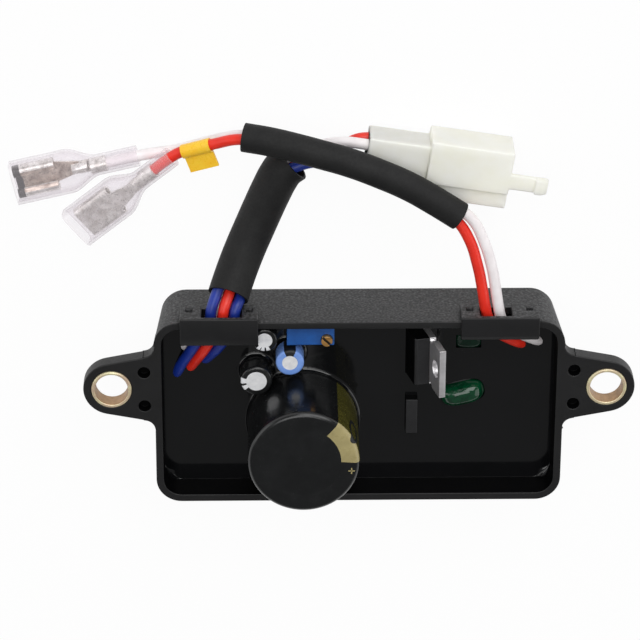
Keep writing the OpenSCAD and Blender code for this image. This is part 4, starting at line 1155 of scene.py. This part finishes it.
RED_SPADE = Spade("red", (-36.6, 50.6, 4.7), turn=220.2, pitch=5.0, roll=180.0)
WHITE_SPADE = Spade("white", (-43.2, 49.9, 2.5), turn=192.6, pitch=-1.5, roll=0.0, slide=1.8,
                    shows_inside=True)

# Middle lines of the two sleeves
WIDE_ROUTE: list[Point] = [
    (-25.8, 23.6, 11.2), (-24.9, 25.7, 9.2), (-23.8, 28.2, 7.3), (-22.3, 31.6, 5.7), (-20.5, 35.6, 4.7),
    (-18.8, 39.6, 4.4), (-17.2, 43.3, 4.4), (-15.8, 46.2, 4.4), (-14.6, 48, 4.4), (-13, 49.3, 4.4),
]
SLIM_ROUTE: list[Point] = [
    (19.4, 41, 12.2), (14.4, 44.3, 12.1), (9.6, 47.2, 12), (3.8, 49.8, 11.6), (-2, 51.9, 11),
    (-7.8, 53.6, 10.7), (-11.7, 54.5, 10.1), (-17.4, 55.4, 8.7), (-22.5, 55.9, 7.6),
]


def smooth_curve(name: str, points: Sequence[Point], radius: float, rings: int = 6) -> bpy.types.Object:
    """Draws one smooth open curve through points, with a round section.

    Args:
        name: The new object's name.
        points: The points in millimetres.
        radius: The section's radius in millimetres.
        rings: Fineness of the section.

    Returns:
        The curve object.
    """
    data = bpy.data.curves.new(name, "CURVE")
    data.dimensions = "3D"
    data.bevel_depth = mm(radius)
    data.bevel_resolution = rings
    data.resolution_u = 8
    spline = data.splines.new("BEZIER")
    spline.bezier_points.add(len(points) - 1)
    for knot, point in zip(spline.bezier_points, points):
        knot.co = at(point)
        knot.handle_left_type = knot.handle_right_type = "AUTO"
    obj = bpy.data.objects.new(name, data)
    bpy.context.scene.collection.objects.link(obj)
    return obj


@dataclass
class Wire:
    """A stranded wire in vinyl insulation, from the board to its contact, and its length as laid."""

    name: str
    slot: str
    node: str
    route: list[Point]
    length: float
    diameter: float = 2.2

    def build(self) -> bpy.types.Object:
        """Draws the wire as one smooth curve with a round section."""
        curve = smooth_curve(self.name, self.route, self.diameter / 2)
        curve.data.use_fill_caps = True
        return settle(curve, self.slot, self.node)

    def declare(self, curve: bpy.types.Object, ends: Sequence[bpy.types.Object]) -> None:
        """Does nothing; the wire's length and the pieces that it ends in are not declared.

        Args:
            curve: The wire's curve; not used.
            ends: The pieces on the wire; not used.
        """


WIRES: list[Wire] = [
    Wire("outer_blue_lead", "blue_wire", "blue_outer_wire", length=77, route=[
        (-37, 3.6, 4.4), (-36.9, 3.7, 6.4), (-36.4, 5, 8.3), (-35.1, 8.2, 9.9), (-33.2, 11.8, 11.4),
        (-31.3, 15.6, 12.6), (-29.5, 19.2, 13), (-29, 21.8, 12.9), *beside(WIDE_ROUTE, -2.35, 0.3),
        (-8.5, 50.2, 6.6), (-3.2, 49.6, 6.3), (0, 49, 5.8), (5.9, 48, 5.8)]),
    Wire("red_lead", "red_wire", "red_sense_wire", length=76, route=[
        (-34.3, 5, 4.4), (-34.2, 5.1, 6.4), (-33.7, 6.4, 8.3), (-32.3, 9, 10), (-30.6, 12, 11.5),
        (-28.8, 15.6, 12.6), (-27.1, 19.2, 13), (-26.6, 21.6, 12.9), *beside(WIDE_ROUTE, 0, 0.3),
        (-8.5, 50.6, 4.3), (-3.2, 52.2, 3), (0.7, 53.5, 2.6), (6.6, 52.6, 2.6)]),
    Wire("inner_blue_lead", "blue_wire", "blue_inner_wire", length=73, route=[
        (-31.5, 7.2, 4.4), (-31.4, 7.3, 6.4), (-30.8, 8.2, 8.3), (-29.3, 10.2, 10), (-27.8, 12.5, 11.5),
        (-26.1, 15.7, 12.6), (-24.7, 19.2, 13), (-24.4, 21.2, 12.9), *beside(WIDE_ROUTE, 2.35, 0.3),
        (-8.5, 49.6, 2.2), (-3.2, 48.5, 2.6), (0, 48.9, 2.6), (5.9, 48, 2.6)]),
    Wire("white_lead", "white_wire", "white_sense_wire", length=73, route=[
        (-35.5, 10.2, 4.4), (-35.4, 10.3, 6.4), (-34.7, 11.3, 8.5), (-33.1, 13.7, 9.6), (-30.4, 16.9, 10.5),
        (-28.4, 19.2, 11), (-27.8, 21.2, 10.9), *beside(WIDE_ROUTE, -1.2, -1.8),
        (-8.8, 53, 5.6), (-3, 53.9, 5.5), (0.7, 53.6, 5.8), (6.6, 52.6, 5.8)]),
    Wire("red_brush_lead", "red_wire", "red_brush_wire", length=107, route=[
        (33.7, 10.7, 4.4), (33.6, 10.8, 6.4), (32.7, 11.5, 8.5), (30, 13.4, 10.4), (27.2, 16, 12.1),
        (25.4, 19.2, 13), (24.7, 22, 13.1), (24.1, 25.6, 13.1), (23, 30.9, 13), (21.2, 36.4, 12.6),
        *beside(SLIM_ROUTE, -1.15, 0), (-28.4, 54.1, 6.7), (-34.9, 51.7, 5.1), *RED_SPADE.wire_end()]),
    Wire("white_brush_lead", "white_wire", "white_brush_wire", length=119, route=[
        (36.9, 11.3, 4.4), (36.8, 11.4, 6.4), (36, 12.1, 8.5), (33.4, 14, 10.6), (30.2, 16.4, 12.3),
        (28, 19.2, 13), (27.3, 22, 13.1), (26.7, 25.6, 13.1), (25.7, 30.9, 13), (24, 36.2, 12.7),
        (22.2, 39.8, 12.3), *beside(SLIM_ROUTE, 1.15, 0), (-26, 54.6, 4.6), (-29.5, 52.9, 2.6),
        (-33, 51.4, 1.5), (-36.6, 50.4, 1.2), (-40.1, 50.1, 1.6), *WHITE_SPADE.wire_end()]),
]


@dataclass
class Tube:
    """A vinyl sleeve: a soft tube cut square at both ends."""

    name: str
    node: str
    route: list[Point]
    outer: float
    wall: float = 0.5

    def build(self) -> bpy.types.Object:
        """Draws the tube along its route and gives its wall a thickness."""
        tube = smooth_curve(self.name, self.route, (self.outer - self.wall) / 2, rings=8)
        take(tube)
        bpy.ops.object.convert(target="MESH")
        apply_modifier(tube, "SOLIDIFY", thickness=mm(self.wall), offset=0)
        smooth(tube, SOFT_TURN)
        return settle(tube, "sleeving", self.node)


@dataclass
class Shroud:
    """A clear cover pulled over a spade receptacle: a round tail that widens to a flat mouth."""

    spade: Spade
    length: float = 25.0
    tail_length: float = 8.0
    taper: float = 6.0
    tail_radius: float = 2.1
    half_width: float = 4.3
    half_height: float = 2.4
    wall: float = 0.5
    squareness: float = 2.2
    around: int = 40
    rings: int = 26

    def build(self) -> bpy.types.Object:
        """Builds the cover from a tube whose rings take their own size and squareness."""
        cover = ringed_tube(f"{self.spade.colour}_cover", self.around, self.rings)
        lie = self.spade.matrix()
        for vertex in cover.data.vertices:
            share = vertex.co.z + 0.5
            turn = math.atan2(vertex.co.y, vertex.co.x)
            vertex.co = (lie @ self.skin(share * self.length, turn)) * METRES_PER_MM
        with editing(cover):
            bpy.ops.mesh.normals_make_consistent(inside=False)
        apply_modifier(cover, "SOLIDIFY", thickness=mm(self.wall), offset=-1)
        smooth(cover, SOFT_TURN)
        return settle(cover, "clear_shroud", f"{self.spade.colour}_shroud")

    def skin(self, along: float, turn: float) -> Vector:
        """A point of the cover's outside.

        Args:
            along: Distance from the tail's end.
            turn: Angle round the axis in radians.

        Returns:
            The point in the receptacle's frame, in millimetres.
        """
        grown = min(1.0, max(0.0, (along - self.tail_length) / self.taper))
        grown = grown * grown * (3 - 2 * grown)
        wide = self.tail_radius + (self.half_width - self.tail_radius) * grown
        high = self.tail_radius + (self.half_height - self.tail_radius) * grown
        square = 2 / (2 + self.squareness * grown)
        across = math.copysign(abs(math.cos(turn)) ** square, math.cos(turn)) * wide
        over = math.copysign(abs(math.sin(turn)) ** square, math.sin(turn)) * high
        return Vector((along, across, over))


@dataclass
class Harness:
    """Both harnesses: wires, sleeves, plug, receptacles with their covers, and the tape flag."""

    wide: Tube = field(default_factory=lambda: Tube("wide_tube", "wide_sleeve", WIDE_ROUTE, 8.2))
    slim: Tube = field(default_factory=lambda: Tube("slim_tube", "slim_sleeve", SLIM_ROUTE, 5.7))
    plug_edge: float = 0.3
    contact_edge: float = 0.06
    flag_edge: float = 0.03
    flat_from: float = 13.0
    flat_half: float = 2.2
    flat_lean: float = 0.7
    mouth_from: float = 23.2

    def build(self) -> None:
        """Builds the pieces on the wires first, then the wires that end in them."""
        wide, slim = self.wide.build(), self.slim.build()
        plug = settle(soften("plug_housing", "plug_shell", self.plug_edge), "plug_nylon", "plug_housing")
        flag = settle(soften("marker_flag", "tape_flag", self.flag_edge), "marker_tape", "marker_flag")
        ends: dict[str, list[bpy.types.Object]] = {}
        for spade in (RED_SPADE, WHITE_SPADE):
            node = f"{spade.colour}_receptacle"
            contact = soften(node, f"{spade.colour}_contact", self.contact_edge)
            paint(contact, Finishes.SLOTS["contact_tin"])
            if spade.shows_inside:
                self.shade_mouth(contact, spade)
            ends[spade.colour] = [slim, settle(contact, "contact_tin", node), Shroud(spade).build()]
        ends["red"].append(flag)
        for wire in WIRES:
            curve = wire.build()
            colour = wire.node.split("_")[0]
            wire.declare(curve, ends[colour] if "brush" in wire.node else [wide, plug, NODES["plug_blades"]])

    def shade_mouth(self, contact: bpy.types.Object, spade: Spade) -> None:
        """Paints shade and a warm reflection on the inside of a receptacle that lies open to the eye, and
        paints its mouth black as shade.

        Args:
            contact: The receptacle.
            spade: Where it lies.
        """
        lie = spade.matrix()
        back = lie.inverted()
        mouth = at(lie @ Vector((self.mouth_from, 0, 0)))
        with editing(contact, "FACE"):
            bpy.ops.mesh.bisect(plane_co=mouth, plane_no=lie.col[0].to_3d())

        def on_flat(middle: Vector, normal: Vector) -> bool:
            """Tells whether a face is on the flat that the blade slides over."""
            along, across, _ = back @ middle
            faces_up = (back.to_3x3() @ normal).z > self.flat_lean
            return faces_up and abs(across) < self.flat_half and along > self.flat_from

        # Painted shade and painted reflection of the brass on the flat between the rolls
        paint(contact, Finishes.TIN_WITH_PAINTED_SHADE_AND_REFLECTION, on_flat)
        # Painted shade in the mouth
        paint(contact, Finishes.DARK_TIN, lambda middle, normal: (back @ middle).x > self.mouth_from)


class Inside:
    """The parts that the resin and the cans hide, which keep their solids."""

    DRESS: dict[str, str] = {
        "circuit_board": "board_laminate",
        "main_capacitor_can": "can_aluminium",
        "main_capacitor_disc": "black_film",
        "main_capacitor_pins": "tinned_lead",
        "capacitor_leads": "tinned_lead",
        "trimmer_pins": "tinned_lead",
        "transistor_leads": "tinned_lead",
        "rectifier_diodes": "package_plastic",
        "resistors": "resistor_body",
        "plug_blades": "contact_tin",
    }

    def build(self) -> None:
        """Gives each hidden solid its finish."""
        for node, slot in self.DRESS.items():
            paint(NODES[node], Finishes.SLOTS[slot])
            LOG.info("node %s dressed", node)


@dataclass
class Lamp:
    """A soft square lamp that looks at the object."""

    name: str
    towards: Point
    watts: float
    size: float
    distance: float = 1.2


@dataclass
class Studio:
    """The floor, lamps, world and camera. Lengths here are metres."""

    eye: Point = (-0.01742, 0.30535, 0.58692)
    eye_turn: Point = (-26.51, -0.911, 0.109)
    lens: float = 183.3
    sensor: float = 36.0
    near_end: float = 0.01
    floor_radius: float = 1.54
    floor_drop: float = 0.00005
    rim_height: float = 1.1
    floor_colour: str = "#f2f2f2"
    floor_glow: str = "#ffffff"
    floor_white: float = 0.95
    world_grey: float = 0.2
    lamps: list[Lamp] = field(default_factory=lambda: [
        Lamp("key", (0.25, 0.75, 0.65), watts=7.5, size=0.9),
        Lamp("ceiling", (-0.1, 0.25, 1.0), watts=4.2, size=0.7),
        Lamp("left_fill", (-0.9, 0.25, 0.5), watts=2.2, size=0.8),
        Lamp("right_fill", (0.9, -0.1, 0.5), watts=2.2, size=0.8),
    ])

    def build(self) -> None:
        """Builds the studio."""
        self.build_camera()
        self.build_floor()
        self.build_world()
        for lamp in self.lamps:
            self.build_lamp(lamp)
        bpy.context.scene.view_settings.view_transform = "Standard"

    def build_camera(self) -> None:
        """Places the camera at the photograph's viewing angle."""
        data = bpy.data.cameras.new("camera")
        data.lens = self.lens
        data.sensor_width = self.sensor
        data.clip_start = self.near_end
        camera = bpy.data.objects.new("camera", data)
        camera.location = self.eye
        camera.rotation_euler = [math.radians(a) for a in self.eye_turn]
        bpy.context.scene.collection.objects.link(camera)
        bpy.context.scene.camera = camera

    def build_floor(self) -> None:
        """Builds a pale floor whose edge turns up, white to the eye but still shaded by the object."""
        line = [(0.0, -self.floor_drop), (self.floor_radius, -self.floor_drop)]
        line += arc((self.floor_radius, self.rim_height), self.rim_height, -90, 0, steps=8)[1:]
        profile = [(radius / METRES_PER_MM, height / METRES_PER_MM) for radius, height in line]
        floor = turned("floor", profile, (0, 0), steps=48)
        material = bpy.data.materials.new("pale_floor")
        material.use_nodes = True
        tree = material.node_tree
        tree.nodes.remove(tree.nodes["Principled BSDF"])
        paper = add_node(tree, "ShaderNodeBsdfDiffuse", None, {"Color": linear(self.floor_colour)})
        glow = {"Color": linear(self.floor_glow), "Strength": 1.0}
        white = add_node(tree, "ShaderNodeEmission", None, glow)
        rays = add_node(tree, "ShaderNodeLightPath")
        seen = rays.outputs["Is Camera Ray"]
        for kind in ("Is Glossy Ray", "Is Transmission Ray"):
            seen = add_node(tree, "ShaderNodeMath", {"operation": "MAXIMUM"},
                            {0: seen, 1: rays.outputs[kind]}).outputs[0]
        share = add_node(tree, "ShaderNodeMath", {"operation": "MULTIPLY"}, {0: seen, 1: self.floor_white})
        both = add_node(tree, "ShaderNodeMixShader", None,
                        {0: share.outputs[0], 1: paper.outputs[0], 2: white.outputs[0]})
        tree.links.new(both.outputs[0], tree.nodes["Material Output"].inputs["Surface"])
        floor.data.materials.append(material)

    def build_world(self) -> None:
        """Fills the room with plain grey light."""
        world = bpy.data.worlds.new("room")
        world.use_nodes = True
        grey = self.world_grey
        world.node_tree.nodes["Background"].inputs["Color"].default_value = (grey, grey, grey, 1)
        bpy.context.scene.world = world

    def build_lamp(self, lamp: Lamp) -> None:
        """Hangs one lamp."""
        data = bpy.data.lights.new(lamp.name, "AREA")
        data.energy = lamp.watts
        data.size = lamp.size
        light = bpy.data.objects.new(lamp.name, data)
        away = Vector(lamp.towards).normalized()
        light.location = away * lamp.distance
        light.rotation_euler = away.to_track_quat("Z", "Y").to_euler()
        bpy.context.scene.collection.objects.link(light)


def main() -> None:
    """Builds the scene."""
    logging.basicConfig(level=logging.INFO, format="%(message)s")
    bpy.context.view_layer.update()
    Studio().build()
    Harness().build()
    Housing().build()
    Potting().build()
    MainCapacitor().build()
    Components().build()
    Inside().build()


if __name__ == "__main__":
    main()
